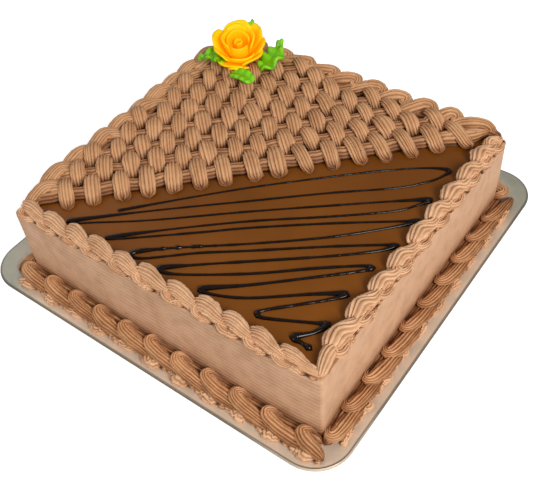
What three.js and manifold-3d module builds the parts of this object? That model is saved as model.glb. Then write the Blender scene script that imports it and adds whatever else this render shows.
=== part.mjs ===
// A square buttercream cake on a foil-covered board, made for three.js.
// Millimetres, +Z up, origin at the middle of the board's underside.
// The glazed half of the top faces the near corner (+X, -Y); a basket weave covers the other half.

import * as THREE from 'three';
import { ParametricGeometry } from 'three/addons/geometries/ParametricGeometry.js';
import { mergeVertices } from 'three/addons/utils/BufferGeometryUtils.js';
import Module from 'manifold-3d';

const wasm = await Module();
wasm.setup();

// Board
const BOARD_SIDE = 305;
const BOARD_THICKNESS = 3;
const BOARD_CORNER_RADIUS = 27;

// Cake, set a little off the board's middle
const CAKE_MIDDLE_X = 7;
const CAKE_MIDDLE_Y = -7.4;
const CAKE_HALF_X = 125;
const CAKE_HALF_Y = 123.5;
const CAKE_TOP = 64.7;
const CAKE_CORNER_RADIUS = 6;
const CAKE_EDGE_ROUNDING = 2.4;

// Clearance between pieces that touch, and the size below which joins leave no detail
const GAP = 0.3;
const FINEST_DETAIL = 0.05;

// Chocolate glaze and the drizzle piped on it
const GLAZE_THICKNESS = 1.1;
const GLAZE_INSET = 3;
const GLAZE_BACK_LINE = 4;
const DRIZZLE_HALF_WIDTH = 0.9;
const DRIZZLE_TURN_HALF_WIDTH = 1.9;
const DRIZZLE_HEIGHT = 1.5;
const DRIZZLE_SUNK = 0.4;
const DRIZZLE_STEPS = 4;

// Basket weave: long strands along U, and short bands along V that cross one strand each
const STRAND_COUNT = 10;
const STRAND_PITCH = 17.5;
const FIRST_STRAND = 8;
const STRAND_HALF_WIDTH = 6;
const STRAND_HEIGHT = 7.2;
const BAND_PITCH = 18.4;
const BAND_HEIGHT = 11.4;
const BANDS_EACH_WAY = 10;
// Columns over one pitch: odd strands have a band round the first one, even strands round the fourth
const WEAVE_COLUMNS = [0, 3.5, 5.7, 9.2, 12.7, 14.9];
// Share of a band's height at its middle groove, its ribs and its sides
const BAND_PROFILE = [0.84, 1, 0.5];
// Rows of one strand: place along V, share of the band's height, share of the strand's height
const WEAVE_ROWS = [[-8.75, 0.36, 0.5], [-3.6, 0.98, 0.95], [3.4, 1, 0.95]];
// Rows that take the place of the front strand's first row: its bands end freely on the glaze
const FREE_END_ROWS = [[-14.6, 0, 0], [-13.2, 0.55, 0], [-8.75, 0.92, 0]];
const LAST_ROW = [8.75, 0.2, 0.1];
// How far the woven part stays inside the two back walls, where the strands' ends go on
const WEAVE_BACK_INSET = 6.5;

// Piped borders: a shell narrows and sinks from its head to its tail and sweeps along the wall
const TOP_BORDER = {
  outward: false, inset: 0.2, depth: 14.2, tailDepth: 10.5, height: 9, tailHeight: 6, sweep: 12,
};
const TOP_BORDER_DEPTH = 15.2;
const TOP_BORDER_OVERHANG = 2;
const LEFT_SHELLS = { count: 12, first: -130, pitch: 20.9 };
const RIGHT_SHELLS = { count: 11, first: -128, pitch: 23.2 };
const BOTTOM_BORDER = {
  outward: true, inset: 0.3, depth: 16.5, tailDepth: 14, height: 12.5, tailHeight: 8, sweep: 16,
};
const BOTTOM_BORDER_DEPTH = 18;
const BOTTOM_BORDER_CORNER_RADIUS = 24;
const BOTTOM_SHELLS = { count: 13, first: -154, pitch: 23.6 };
// Height of each column of a shell, from the hollow before its head: valleys and ribs by turns
const SHELL_RIBS = [0.6, 1, 0.8, 1.05, 0.82, 1.05];
// Place and height of each row across a shell, from the wall to the far foot
const SHELL_ROWS = [[0, 0], [0.16, 0.72], [0.45, 1], [0.78, 0.74], [1, 0]];

// Rose and leaves, placed on the weave in U and V
const ROSE_PLACE = { u: 0, v: 127 };
const ROSE_HEIGHT = 27;
const ROSE_HEART = [[0, 0], [9, 0], [11, 3], [8, 8], [4.4, 14], [3, 20], [0, 20.5]];
const INNER_PETALS = { count: 3, arc: 2.5, footRadius: 6, rimRadius: 10.5, foot: 3, drop: 2 };
const OUTER_PETALS = { count: 5, arc: 1.55, footRadius: 8, rimRadius: 20, foot: 0.8, drop: 7 };
const PETAL_THICKNESS = 1.6;
const LEAF_THICKNESS = 1.8;

const GLAZE_BOTTOM = CAKE_TOP + GAP;
const GLAZE_TOP = GLAZE_BOTTOM + GLAZE_THICKNESS;
const WEAVE_BASE = CAKE_TOP + GAP;
const BORDER_BASE = BOARD_THICKNESS + GAP;
const ROSE_BASE = WEAVE_BASE + BAND_HEIGHT + 1.7;

const buttercream = new THREE.MeshStandardMaterial({ color: 0xc79876, roughness: 0.62, metalness: 0 });
const wallCream = new THREE.MeshStandardMaterial({ color: 0xd9ad8c, roughness: 0.6, metalness: 0 });
const glazeBrown = new THREE.MeshStandardMaterial({ color: 0x7d4b1e, roughness: 0.32, metalness: 0 });
const petalYellow = new THREE.MeshStandardMaterial({ color: 0xffc010, roughness: 0.5, metalness: 0 });
const leafGreen = new THREE.MeshStandardMaterial({ color: 0x4bb91e, roughness: 0.45, metalness: 0 });
const foil = new THREE.MeshStandardMaterial({ color: 0xb9bcb4, roughness: 0.25, metalness: 0.9 });

// Repeatable unevenness: the same draws on every run.
let seed = 20417;
function random() {
  seed = (seed * 1664525 + 1013904223) % 4294967296;
  return seed / 4294967296;
}

function uneven(amount) {
  return (random() * 2 - 1) * amount;
}

// A closed geometry becomes a solid that can be joined and cut.
function solid(geometry) {
  const bare = geometry.clone();
  bare.deleteAttribute('normal');
  bare.deleteAttribute('uv');
  const merged = mergeVertices(bare, 1e-4);
  const corners = merged.index.array;
  const triangles = [];
  for (let i = 0; i < corners.length; i += 3) {
    const [a, b, c] = [corners[i], corners[i + 1], corners[i + 2]];
    if (a !== b && b !== c && c !== a) triangles.push(a, b, c);
  }
  const vertProperties = new Float32Array(merged.attributes.position.array);
  const facing = new wasm.Manifold(
    new wasm.Mesh({ numProp: 3, vertProperties, triVerts: Uint32Array.from(triangles) }),
  );
  if (facing.volume() > 0) return facing;
  triangles.reverse();
  return new wasm.Manifold(
    new wasm.Mesh({ numProp: 3, vertProperties, triVerts: Uint32Array.from(triangles) }),
  );
}

function join(solids) {
  return solids.reduce((sum, next) => sum.add(next));
}

// The outer shell of the largest piece: sealed hollows are filled and loose scraps are dropped.
function wholeBody(body) {
  const shells = body.decompose();
  return shells.reduce((largest, shell) => (shell.volume() > largest.volume() ? shell : largest));
}

function piece(name, body, material) {
  const { vertProperties, triVerts } = wholeBody(body).simplify(FINEST_DETAIL).getMesh();
  const geometry = new THREE.BufferGeometry();
  geometry.setAttribute('position', new THREE.BufferAttribute(vertProperties, 3));
  geometry.setIndex(new THREE.BufferAttribute(triVerts, 1));
  geometry.computeVertexNormals();
  const mesh = new THREE.Mesh(geometry, material);
  mesh.name = name;
  return mesh;
}

// Half-round section of a star-tip stroke, from -1 to 1 across and 0 to 1 up, with grooves between ribs
function ribbedSection(ribs, grooveDepth) {
  const points = [[-1, 0]];
  for (let i = 1; i < 2 * ribs; i += 1) {
    const angle = Math.PI * (1 - i / (2 * ribs));
    const radius = i % 2 ? 1 : 1 - grooveDepth;
    points.push([radius * Math.cos(angle), radius * Math.sin(angle) ** 0.7]);
  }
  points.push([1, 0]);
  return points;
}

// A stroke of cream: the section is carried along the path of its underside and digs a little below it.
// Both ends close to a point.
function stroke(path, halfWidthAt, heightAt, section, steps, dig = 0.6) {
  const curve = new THREE.CatmullRomCurve3(path.map((point) => new THREE.Vector3(...point)));
  const side = new THREE.Vector3();
  const up = new THREE.Vector3();
  const rows = steps + 2;
  return solid(new ParametricGeometry((around, along, target) => {
    const column = Math.round(around * section.length) % section.length;
    const row = Math.round(along * rows);
    const at = THREE.MathUtils.clamp((row - 1) / steps, 0, 1);
    const tangent = curve.getTangent(at);
    side.set(-tangent.y, tangent.x, 0).normalize();
    up.crossVectors(tangent, side);
    const [across, rise] = row === 0 || row === rows ? [0, 0.4] : section[column];
    curve.getPoint(at, target);
    target.addScaledVector(side, across * halfWidthAt(at));
    target.addScaledVector(up, rise * (heightAt(at) + dig) - dig);
  }, section.length, rows));
}

function prism(outline, bottom, top) {
  const shape = new THREE.Shape(outline.map(([x, y]) => new THREE.Vector2(x, y)));
  const geometry = new THREE.ExtrudeGeometry(shape, { depth: top - bottom, bevelEnabled: false });
  return geometry.translate(0, 0, bottom);
}

function roundedRectangle(halfX, halfY, radius) {
  const shape = new THREE.Shape();
  shape.absarc(halfX - radius, halfY - radius, radius, 0, Math.PI / 2);
  shape.absarc(radius - halfX, halfY - radius, radius, Math.PI / 2, Math.PI);
  shape.absarc(radius - halfX, radius - halfY, radius, Math.PI, 1.5 * Math.PI);
  shape.absarc(halfX - radius, radius - halfY, radius, 1.5 * Math.PI, 2 * Math.PI);
  return shape;
}

// A slab with rounded corners whose upper and lower edges are cut back by the rounding.
function roundedSlab(halfX, halfY, radius, bottom, top, rounding) {
  const shape = roundedRectangle(halfX - rounding, halfY - rounding, radius - rounding);
  const geometry = new THREE.ExtrudeGeometry(shape, {
    depth: top - bottom - 2 * rounding,
    bevelThickness: rounding,
    bevelSize: rounding,
    bevelEnabled: rounding > 0,
    bevelSegments: 1,
    curveSegments: 4,
  });
  return geometry.translate(0, 0, bottom + rounding);
}

function boardBody() {
  return solid(roundedSlab(BOARD_SIDE / 2, BOARD_SIDE / 2, BOARD_CORNER_RADIUS, 0, BOARD_THICKNESS, 0));
}

function cakeBody() {
  return solid(roundedSlab(
    CAKE_HALF_X, CAKE_HALF_Y, CAKE_CORNER_RADIUS, BORDER_BASE, CAKE_TOP, CAKE_EDGE_ROUNDING,
  ));
}

// The glaze lies in front of the diagonal; its outline stands a little in from the two front walls.
function glazeOutline(grow) {
  const x = CAKE_HALF_X - GLAZE_INSET + grow;
  const y = CAKE_HALF_Y - GLAZE_INSET + grow;
  const behind = (GLAZE_BACK_LINE + grow) * Math.SQRT2;
  return [[-x, -y], [x, -y], [x, y], [y - behind, y], [-x, behind - x]];
}

function drizzleRuns() {
  return [
    [[-103, -15], [-15, -12], [76, -15], [124, -24]],
    [[124, -25], [105, -33], [39, -29], [-15, -25], [-134, -18]],
    [[-134, -19], [-119, -23], [-16, -35], [79, -46], [103, -49]],
    [[103, -50], [76, -55], [-17, -44], [-111, -38]],
    [[-111, -39], [-100, -42], [-18, -50], [79, -65], [90, -67]],
    [[90, -68], [73, -70], [-20, -64], [-95, -56]],
    [[-95, -57], [-90, -62], [-21, -70], [64, -83], [70, -85]],
    [[70, -86], [58, -88], [-22, -79], [-79, -73]],
    [[-79, -74], [-69, -80], [-24, -89], [45, -97], [51, -99]],
    [[51, -100], [44, -102], [-25, -98], [-55, -94]],
    [[-55, -95], [-48, -101], [-27, -108], [31, -116]],
    [[31, -117], [20, -120], [-24, -121]],
    [[-24, -122], [-20, -126], [7, -134], [15, -137]],
    [[15, -138], [6, -142], [-6, -142]],
    [[-6, -143], [-2, -147], [1, -151]],
  ];
}

// U runs from the left corner to the right one, V from the near corner to the back one.
function fromDiagonal(u, v) {
  return [(u - v) * Math.SQRT1_2, (u + v) * Math.SQRT1_2];
}

function rectangle(left, front, right, back) {
  return [[left, front], [right, front], [right, back], [left, back]];
}

function glazeBody() {
  const runs = drizzleRuns().map((run) => stroke(
    run.map(([u, v]) => [...fromDiagonal(u, v), GLAZE_TOP - DRIZZLE_SUNK]),
    (at) => THREE.MathUtils.lerp(DRIZZLE_HALF_WIDTH, DRIZZLE_TURN_HALF_WIDTH, Math.abs(2 * at - 1) ** 6),
    () => DRIZZLE_HEIGHT + DRIZZLE_SUNK,
    [[-1, 0], [0, 1], [1, 0]],
    DRIZZLE_STEPS,
  ));
  const x = CAKE_HALF_X - TOP_BORDER_DEPTH - GAP;
  const y = CAKE_HALF_Y - TOP_BORDER_DEPTH - GAP;
  const inside = prism(rectangle(-x, -y, x, y), GLAZE_BOTTOM, GLAZE_TOP + 2 * DRIZZLE_HEIGHT);
  const slab = prism(glazeOutline(0), GLAZE_BOTTOM, GLAZE_TOP);
  return join(runs).intersect(solid(inside)).add(solid(slab));
}

// Where strand k lies, and where it reaches the cake's two back walls.
function strandPlace(k) {
  const v = FIRST_STRAND + k * STRAND_PITCH;
  return { v, left: v - CAKE_HALF_X * Math.SQRT2, right: CAKE_HALF_Y * Math.SQRT2 - v };
}

// The left end of a strand folds over the edge and hangs down the wall.
function foldedEnd(k) {
  const { v, left } = strandPlace(k);
  const path = [
    [left + 16, v, WEAVE_BASE],
    [left + 6, v, WEAVE_BASE + 2],
    [left - 3, v, WEAVE_BASE - 1],
    [left - 7, v, WEAVE_BASE - 9],
  ];
  const height = STRAND_HEIGHT + 0.6 + uneven(0.6);
  return stroke(path, () => STRAND_HALF_WIDTH + 1, () => height, ribbedSection(2, 0.2), 2);
}

// The right end of a strand runs past the edge and curls back towards the front.
function curledEnd(k) {
  const { v, right } = strandPlace(k);
  const path = [
    [right - 16, v + 1, WEAVE_BASE],
    [right - 5, v + 2, WEAVE_BASE + 1],
    [right + 4, v - 1, WEAVE_BASE],
    [right + 4, v - 9, WEAVE_BASE - 3],
  ];
  const height = STRAND_HEIGHT + 1 + uneven(0.6);
  return stroke(path, (at) => STRAND_HALF_WIDTH - 2 * at, () => height, ribbedSection(2, 0.2), 2);
}

// Two strands pinch together into one point at the right corner.
function cornerStroke() {
  const path = [[138, 15, WEAVE_BASE], [154, 9, WEAVE_BASE + 2], [169, 1, WEAVE_BASE]];
  const halfWidth = (at) => STRAND_HALF_WIDTH * (1 - 0.75 * at);
  return stroke(path, halfWidth, () => STRAND_HEIGHT, ribbedSection(2, 0.2), 3);
}

function weaveRows() {
  const rows = [...FREE_END_ROWS, ...WEAVE_ROWS.slice(1)].map((row) => [0, ...row]);
  for (let k = 1; k < STRAND_COUNT; k += 1) {
    rows.push(...WEAVE_ROWS.map((row) => [k, ...row]));
  }
  rows.push([STRAND_COUNT - 1, ...LAST_ROW]);
  return rows;
}

// The woven surface is a slab whose top is moved row by row: it rises over each strand and higher over
// each band, and dips between the strands. The bands of even strands stand half a pitch further on.
function weaveSurface() {
  const rows = weaveRows();
  const each = WEAVE_COLUMNS.length;
  const columns = 2 * BANDS_EACH_WAY * each;
  const bandCount = 2 * BANDS_EACH_WAY + 2;
  const scales = Array.from({ length: STRAND_COUNT * bandCount }, () => 1 + uneven(0.07));
  const shifts = scales.map(() => uneven(0.7));
  const geometry = new THREE.BoxGeometry(1, 1, 1, columns, rows.length - 1, 1);
  const places = geometry.attributes.position;
  for (let n = 0; n < places.count; n += 1) {
    const column = Math.round((places.getX(n) + 0.5) * columns);
    const [k, along, bandShare, strandShare] = rows[Math.round((places.getY(n) + 0.5) * (rows.length - 1))];
    const middleColumn = k % 2 ? 0 : each / 2;
    const band = Math.round((column - middleColumn) / each);
    const away = Math.abs(column - middleColumn - band * each);
    const who = k * bandCount + band + 1;
    const isBand = away < BAND_PROFILE.length;
    const height = isBand
      ? BAND_HEIGHT * BAND_PROFILE[away] * bandShare * scales[who]
      : STRAND_HEIGHT * strandShare;
    const u = (Math.floor(column / each) - BANDS_EACH_WAY) * BAND_PITCH + WEAVE_COLUMNS[column % each];
    const z = places.getZ(n) > 0 ? WEAVE_BASE + height : WEAVE_BASE - 1;
    places.setXYZ(n, u + (isBand ? shifts[who] : 0), strandPlace(k).v + along, z);
  }
  return solid(geometry);
}

// The weave is made in the turned frame of U and V, so outlines along the walls are turned back into it.
function inWeaveFrame(outline, bottom, top) {
  return solid(prism(outline, bottom, top).rotateZ(-Math.PI / 4));
}

function weaveBody() {
  const ends = [cornerStroke()];
  for (let k = 0; k < STRAND_COUNT; k += 1) {
    ends.push(foldedEnd(k), curledEnd(k));
  }
  const [x, y] = [CAKE_HALF_X, CAKE_HALF_Y];
  const far = 2 * CAKE_HALF_X;
  const high = 2 * CAKE_TOP;
  const edge = TOP_BORDER_DEPTH + GAP;
  const woven = rectangle(-x + WEAVE_BACK_INSET, -y, x, y - WEAVE_BACK_INSET);
  const surface = weaveSurface().intersect(inWeaveFrame(woven, WEAVE_BASE, high));
  return join([surface, ...ends])
    .subtract(inWeaveFrame(rectangle(-x - GAP, -y - GAP, x + GAP, y + GAP), 0, WEAVE_BASE))
    .subtract(inWeaveFrame(glazeOutline(GAP), GLAZE_BOTTOM - GLAZE_THICKNESS, GLAZE_TOP + GAP))
    .subtract(inWeaveFrame(rectangle(-far, -far, far, edge - y), 0, high))
    .subtract(inWeaveFrame(rectangle(x - edge, -far, far, far), 0, high));
}

// A row of piped shells in the frame of its wall: X along the wall, Y in from the wall's face. It is a
// slab whose top is moved: its columns follow the ribs, which sweep forward from the row's inner side to
// its outer one, and each shell has the columns of SHELL_RIBS, from its fat head to its thin tail.
function shellRow(row, size, base) {
  const across = SHELL_ROWS.length - 1;
  const along = row.count * SHELL_RIBS.length;
  const scales = Array.from({ length: row.count + 1 }, () => 1 + uneven(0.08));
  const geometry = new THREE.BoxGeometry(1, 1, 1, along, across, 1);
  const places = geometry.attributes.position;
  for (let n = 0; n < places.count; n += 1) {
    const column = Math.round((places.getX(n) + 0.5) * along);
    const [part, arch] = SHELL_ROWS[Math.round((places.getY(n) + 0.5) * across)];
    const i = Math.floor(column / SHELL_RIBS.length);
    const rib = column % SHELL_RIBS.length;
    const thinning = rib / SHELL_RIBS.length;
    const reach = THREE.MathUtils.lerp(size.depth, size.tailDepth, thinning) * (rib ? scales[i] : 0.9);
    const tapered = THREE.MathUtils.lerp(size.height, size.tailHeight, thinning);
    const height = tapered * scales[i] * SHELL_RIBS[rib];
    const outward = size.outward ? part : 1 - part;
    const x = row.first + (i + thinning) * row.pitch + size.sweep * outward;
    const y = (size.outward ? -1 : 1) * (size.inset + part * reach);
    places.setXYZ(n, x, y, places.getZ(n) > 0 ? base + arch * height : base - 1);
  }
  return solid(geometry);
}

// The part of a side between the two 45 degree lines through the cake's corners.
function sideZone(halfLength, innerDepth, outerDepth, low) {
  const line = (depth) => halfLength - depth - GAP * 0.75;
  const outline = [
    [-line(-outerDepth), -outerDepth], [line(-outerDepth), -outerDepth],
    [line(innerDepth), innerDepth], [-line(innerDepth), innerDepth],
  ];
  return solid(prism(outline, low, 2 * CAKE_TOP));
}

function topBorderBody(row, halfLength) {
  const reach = GLAZE_INSET - GAP;
  const glaze = prism(
    rectangle(-halfLength, reach, halfLength, 2 * TOP_BORDER_DEPTH), GLAZE_BOTTOM - 1, GLAZE_TOP + GAP,
  );
  return shellRow(row, TOP_BORDER, GLAZE_BOTTOM)
    .intersect(sideZone(halfLength, TOP_BORDER_DEPTH, TOP_BORDER_OVERHANG, GLAZE_BOTTOM))
    .subtract(solid(glaze));
}

// The outer foot of the bottom border turns round the cake's corners.
function bottomBorderBody(halfLength, halfDepth) {
  const outer = roundedSlab(
    halfLength + BOTTOM_BORDER_DEPTH, halfDepth + BOTTOM_BORDER_DEPTH, BOTTOM_BORDER_CORNER_RADIUS,
    BORDER_BASE, CAKE_TOP, 0,
  );
  return shellRow(BOTTOM_SHELLS, BOTTOM_BORDER, BORDER_BASE)
    .intersect(sideZone(halfLength, -GAP, BOTTOM_BORDER_DEPTH, BORDER_BASE))
    .intersect(solid(outer.translate(0, halfDepth, 0)));
}

// Turns a piece made in the frame of its wall to the cake's side i, counted from the front left one.
function onSide(i, mesh) {
  const wall = i % 2 ? CAKE_HALF_X : CAKE_HALF_Y;
  const turn = i * Math.PI / 2;
  mesh.rotation.z = turn;
  mesh.position.set(wall * Math.sin(turn), -wall * Math.cos(turn), 0);
  return mesh;
}

// A thin closed sheet around a curved surface: both faces have the same triangles.
function sheet(surface, columns, rows, thickness) {
  const flat = new THREE.PlaneGeometry(2, 1, columns, rows).translate(0, 0.5, 0);
  const places = flat.attributes.position;
  const count = places.count;
  const positions = new Float32Array(count * 6);
  const here = new THREE.Vector3();
  const beside = new THREE.Vector3();
  const above = new THREE.Vector3();
  const step = 1e-3;
  for (let i = 0; i < count; i += 1) {
    const [p, q] = [places.getX(i), places.getY(i)];
    surface(p, q, here);
    surface(p + step, q, beside).sub(here);
    surface(p, q + step, above).sub(here);
    const normal = beside.cross(above).normalize();
    const half = thickness / 2;
    here.clone().addScaledVector(normal, half).toArray(positions, i * 3);
    here.clone().addScaledVector(normal, -half).toArray(positions, (count + i) * 3);
  }
  const upper = Array.from(flat.index.array);
  const lower = upper.map((corner) => corner + count).reverse();
  const rim = [];
  const wide = columns + 1;
  for (let i = 0; i < columns; i += 1) rim.push([i + 1, i], [rows * wide + i, rows * wide + i + 1]);
  for (let j = 0; j < rows; j += 1) {
    rim.push([j * wide, (j + 1) * wide], [(j + 1) * wide + columns, j * wide + columns]);
  }
  const walls = rim.flatMap(([a, b]) => [b, a, a + count, b, a + count, b + count]);
  const geometry = new THREE.BufferGeometry();
  geometry.setAttribute('position', new THREE.BufferAttribute(positions, 3));
  geometry.setIndex([...upper, ...lower, ...walls]);
  return solid(geometry);
}

// A petal stands round the middle at an angle, leans out to its rim and is lower at its sides.
function petal(angle, ring, rimRadius, rim) {
  return sheet((p, q, target) => {
    const turn = angle + p * ring.arc / 2;
    const lean = q ** 1.4 * (1 - 0.12 * p * p);
    const radius = THREE.MathUtils.lerp(ring.footRadius, rimRadius, lean);
    const height = ring.foot + (rim - ring.foot) * q * (1 - 0.4 * p ** 4);
    return target.set(radius * Math.cos(turn), radius * Math.sin(turn), height);
  }, 4, 2, PETAL_THICKNESS);
}

function roseBody() {
  const profile = ROSE_HEART.map(([x, y]) => new THREE.Vector2(x, y));
  const parts = [solid(new THREE.LatheGeometry(profile, 8).rotateX(Math.PI / 2))];
  [INNER_PETALS, OUTER_PETALS].forEach((ring) => {
    for (let i = 0; i < ring.count; i += 1) {
      const angle = (i / ring.count) * 2 * Math.PI + 0.2 * ring.arc;
      const rimRadius = ring.rimRadius + uneven(0.9);
      parts.push(petal(angle, ring, rimRadius, ROSE_HEIGHT - ring.drop + uneven(1.2)));
    }
  });
  return join(parts);
}

// A leaf is a thin wavy sheet: pointed, folded along its middle and rippled across.
function leafBody(length, halfWidth, ripple) {
  const phase = random() * 6;
  return sheet((p, q, target) => {
    const swell = 0.45 + 0.9 * Math.sin(Math.PI * Math.min(1, 0.12 + 0.8 * q));
    const width = halfWidth * swell * (1 - 0.5 * q);
    const fold = 1.6 * Math.abs(p);
    const wave = ripple * Math.abs(p) * Math.sin(14 * q + phase);
    return target.set(length * q, p * width, LEAF_THICKNESS + fold + wave + 4 * q * (1 - q));
  }, 4, 6, LEAF_THICKNESS);
}

function onWeave(mesh, u, v, lift, turn) {
  mesh.position.set(u, v, ROSE_BASE + lift);
  mesh.rotation.z = turn;
  return mesh;
}

const diagonalFrame = new THREE.Group();
diagonalFrame.rotation.z = Math.PI / 4;
diagonalFrame.add(
  piece('basket_weave', weaveBody(), buttercream),
  onWeave(piece('rose', roseBody(), petalYellow), ROSE_PLACE.u, ROSE_PLACE.v, 0, 0.35),
  onWeave(piece('leaf_left', leafBody(24, 6.5, 1.2), leafGreen), -14, 120, -0.6, 2.35),
  onWeave(piece('leaf_right', leafBody(27, 6.5, 1.4), leafGreen), 14, 116, -0.6, 0.9),
  onWeave(piece('leaf_front', leafBody(18, 6, 1), leafGreen), -2, 112, -0.6, -1.35),
  onWeave(piece('leaf_back', leafBody(22, 5.5, 1), leafGreen), 8, 143, -0.6, 1.3),
);

const cake = new THREE.Group();
cake.position.set(CAKE_MIDDLE_X, CAKE_MIDDLE_Y, 0);
cake.add(
  piece('iced_cake', cakeBody(), wallCream),
  piece('chocolate_glaze', glazeBody(), glazeBrown),
  onSide(0, piece('top_border_left', topBorderBody(LEFT_SHELLS, CAKE_HALF_X), buttercream)),
  onSide(1, piece('top_border_right', topBorderBody(RIGHT_SHELLS, CAKE_HALF_Y), buttercream)),
  diagonalFrame,
);
['front_left', 'front_right', 'back_right', 'back_left'].forEach((place, i) => {
  const [halfLength, halfDepth] = i % 2 ? [CAKE_HALF_Y, CAKE_HALF_X] : [CAKE_HALF_X, CAKE_HALF_Y];
  const body = bottomBorderBody(halfLength, halfDepth);
  cake.add(onSide(i, piece(`bottom_border_${place}`, body, buttercream)));
});

const product = new THREE.Group();
product.add(piece('cake_board', boardBody(), foil), cake);

export default product;
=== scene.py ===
"""A square buttercream cake: woven half, glazed half with drizzle, piped borders, a rose and leaves."""
import math

import bmesh
import bpy
import numpy as np
from mathutils import Matrix


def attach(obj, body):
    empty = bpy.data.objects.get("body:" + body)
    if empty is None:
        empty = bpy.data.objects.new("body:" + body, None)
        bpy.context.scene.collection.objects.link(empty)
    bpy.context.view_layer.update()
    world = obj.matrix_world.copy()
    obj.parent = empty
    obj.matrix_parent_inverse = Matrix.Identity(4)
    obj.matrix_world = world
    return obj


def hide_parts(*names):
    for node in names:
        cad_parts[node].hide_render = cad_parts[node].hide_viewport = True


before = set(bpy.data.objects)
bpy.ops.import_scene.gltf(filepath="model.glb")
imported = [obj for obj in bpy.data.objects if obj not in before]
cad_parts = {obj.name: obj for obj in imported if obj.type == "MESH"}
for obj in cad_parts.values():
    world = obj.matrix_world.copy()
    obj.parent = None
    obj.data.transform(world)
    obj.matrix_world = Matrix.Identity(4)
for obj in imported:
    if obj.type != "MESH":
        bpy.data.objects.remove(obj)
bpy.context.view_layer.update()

bl_info = {
    "name": "Buttercream Cake",
    "version": (1, 0, 0),
    "blender": (4, 5, 0),
    "location": "3D View > Sidebar > Cake",
    "description": "Builds a square woven buttercream cake on its foil board, with its light and camera",
    "category": "Object",
}

MM = 0.001
ROOT2 = math.sqrt(2)
UP = np.array([0.0, 0.0, 1.0])
# The cake's middle on the board, and its near corner seen from there, in millimetres
MIDDLE = (7.0, -7.4)
NEAR_CORNER = (125.0, -123.5)
# Gap under the glaze and the piping, radius of the cake's upper edges, and distance of the comb's lines
GAP = 0.3
EDGE_RADIUS = 3.0
COMB_PITCH = 3.8
# Distance between commas that their tables are drawn for, and between those along the foot
COMMA_PITCH = 23
FOOT_PITCH = 24.2


# Frames of reference. The cake stands a little off the board's middle.

def xyz(x, y, z):
    """Rows of three numbers, such as points, from their columns. A column may be one number for all."""
    return np.stack(np.broadcast_arrays(x, y, z), -1)


def from_cake(points):
    """Cake millimetres to frame millimetres. The cake's middle goes to its place on the board, and the
    near corner is drawn out to the right by 3 mm, and what lies round it less, by a bell curve."""
    p = np.asarray(points, float)
    away = np.hypot(p[..., 0] - NEAR_CORNER[0], p[..., 1] - NEAR_CORNER[1])
    drawn = 2.2 * np.exp(-(away / 16) ** 2)
    return p + xyz(MIDDLE[0] + drawn, MIDDLE[1] + drawn, 0)


def from_weave(points):
    """U runs from the left corner to the right one and V from the near corner to the back one."""
    p = np.asarray(points, float)
    u, v = p[..., 0], p[..., 1]
    return from_cake(xyz((u - v) / ROOT2, (u + v) / ROOT2, p[..., 2]))


def from_side(side, points):
    """Along the wall, in from its face, and up. Side 0 is front left, and they go on to the right."""
    sizes = bpy.context.scene.cake_sizes
    half = sizes.half_x if side % 2 else sizes.half_y
    p = np.asarray(points, float)
    along, inward = p[..., 0], p[..., 1] - half / MM
    turn = side * math.pi / 2
    x = along * math.cos(turn) - inward * math.sin(turn)
    y = along * math.sin(turn) + inward * math.cos(turn)
    return from_cake(xyz(x, y, p[..., 2]))


# Curves and surfaces

def unit(vectors):
    """The same directions, each one long."""
    return vectors / np.linalg.norm(vectors, axis=-1, keepdims=True)


def directions(path):
    """At every point of a path, the directions along it, level to its left, and up from both."""
    ahead = unit(np.gradient(path, axis=0))
    side = unit(np.cross(UP, ahead))
    return ahead, side, np.cross(ahead, side)


def smooth_path(points, count):
    """Catmull-Rom curve through the points, sampled at equal steps of its own length."""
    p = np.asarray(points, float)
    p = np.vstack([2 * p[0] - p[1], p, 2 * p[-1] - p[-2]])
    t = np.linspace(0, len(points) - 1, 12 * len(points))
    i = np.minimum(t.astype(int), len(points) - 2)
    f = (t - i)[:, None]
    a, b, c, d = p[i], p[i + 1], p[i + 2], p[i + 3]
    second, third = 2 * a - 5 * b + 4 * c - d, 3 * b - a - 3 * c + d
    curve = (2 * b + (c - a) * f + second * f ** 2 + third * f ** 3) / 2
    length = np.append(0, np.cumsum(np.linalg.norm(np.diff(curve[:, :3], axis=0), axis=1)))
    even = np.linspace(0, length[-1], count)
    return np.stack([np.interp(even, length, column) for column in curve.T], -1)


def quads_of_grid(rows, columns, wrap):
    """Corner numbers of the four-sided faces of a grid of points, row after row."""
    i, j = np.meshgrid(np.arange(rows - 1), np.arange(columns if wrap else columns - 1), indexing="ij")
    after = (j + 1) % columns
    faces = [i * columns + j, i * columns + after, (i + 1) * columns + after, (i + 1) * columns + j]
    return np.stack(faces, -1).reshape(-1, 4)


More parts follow.
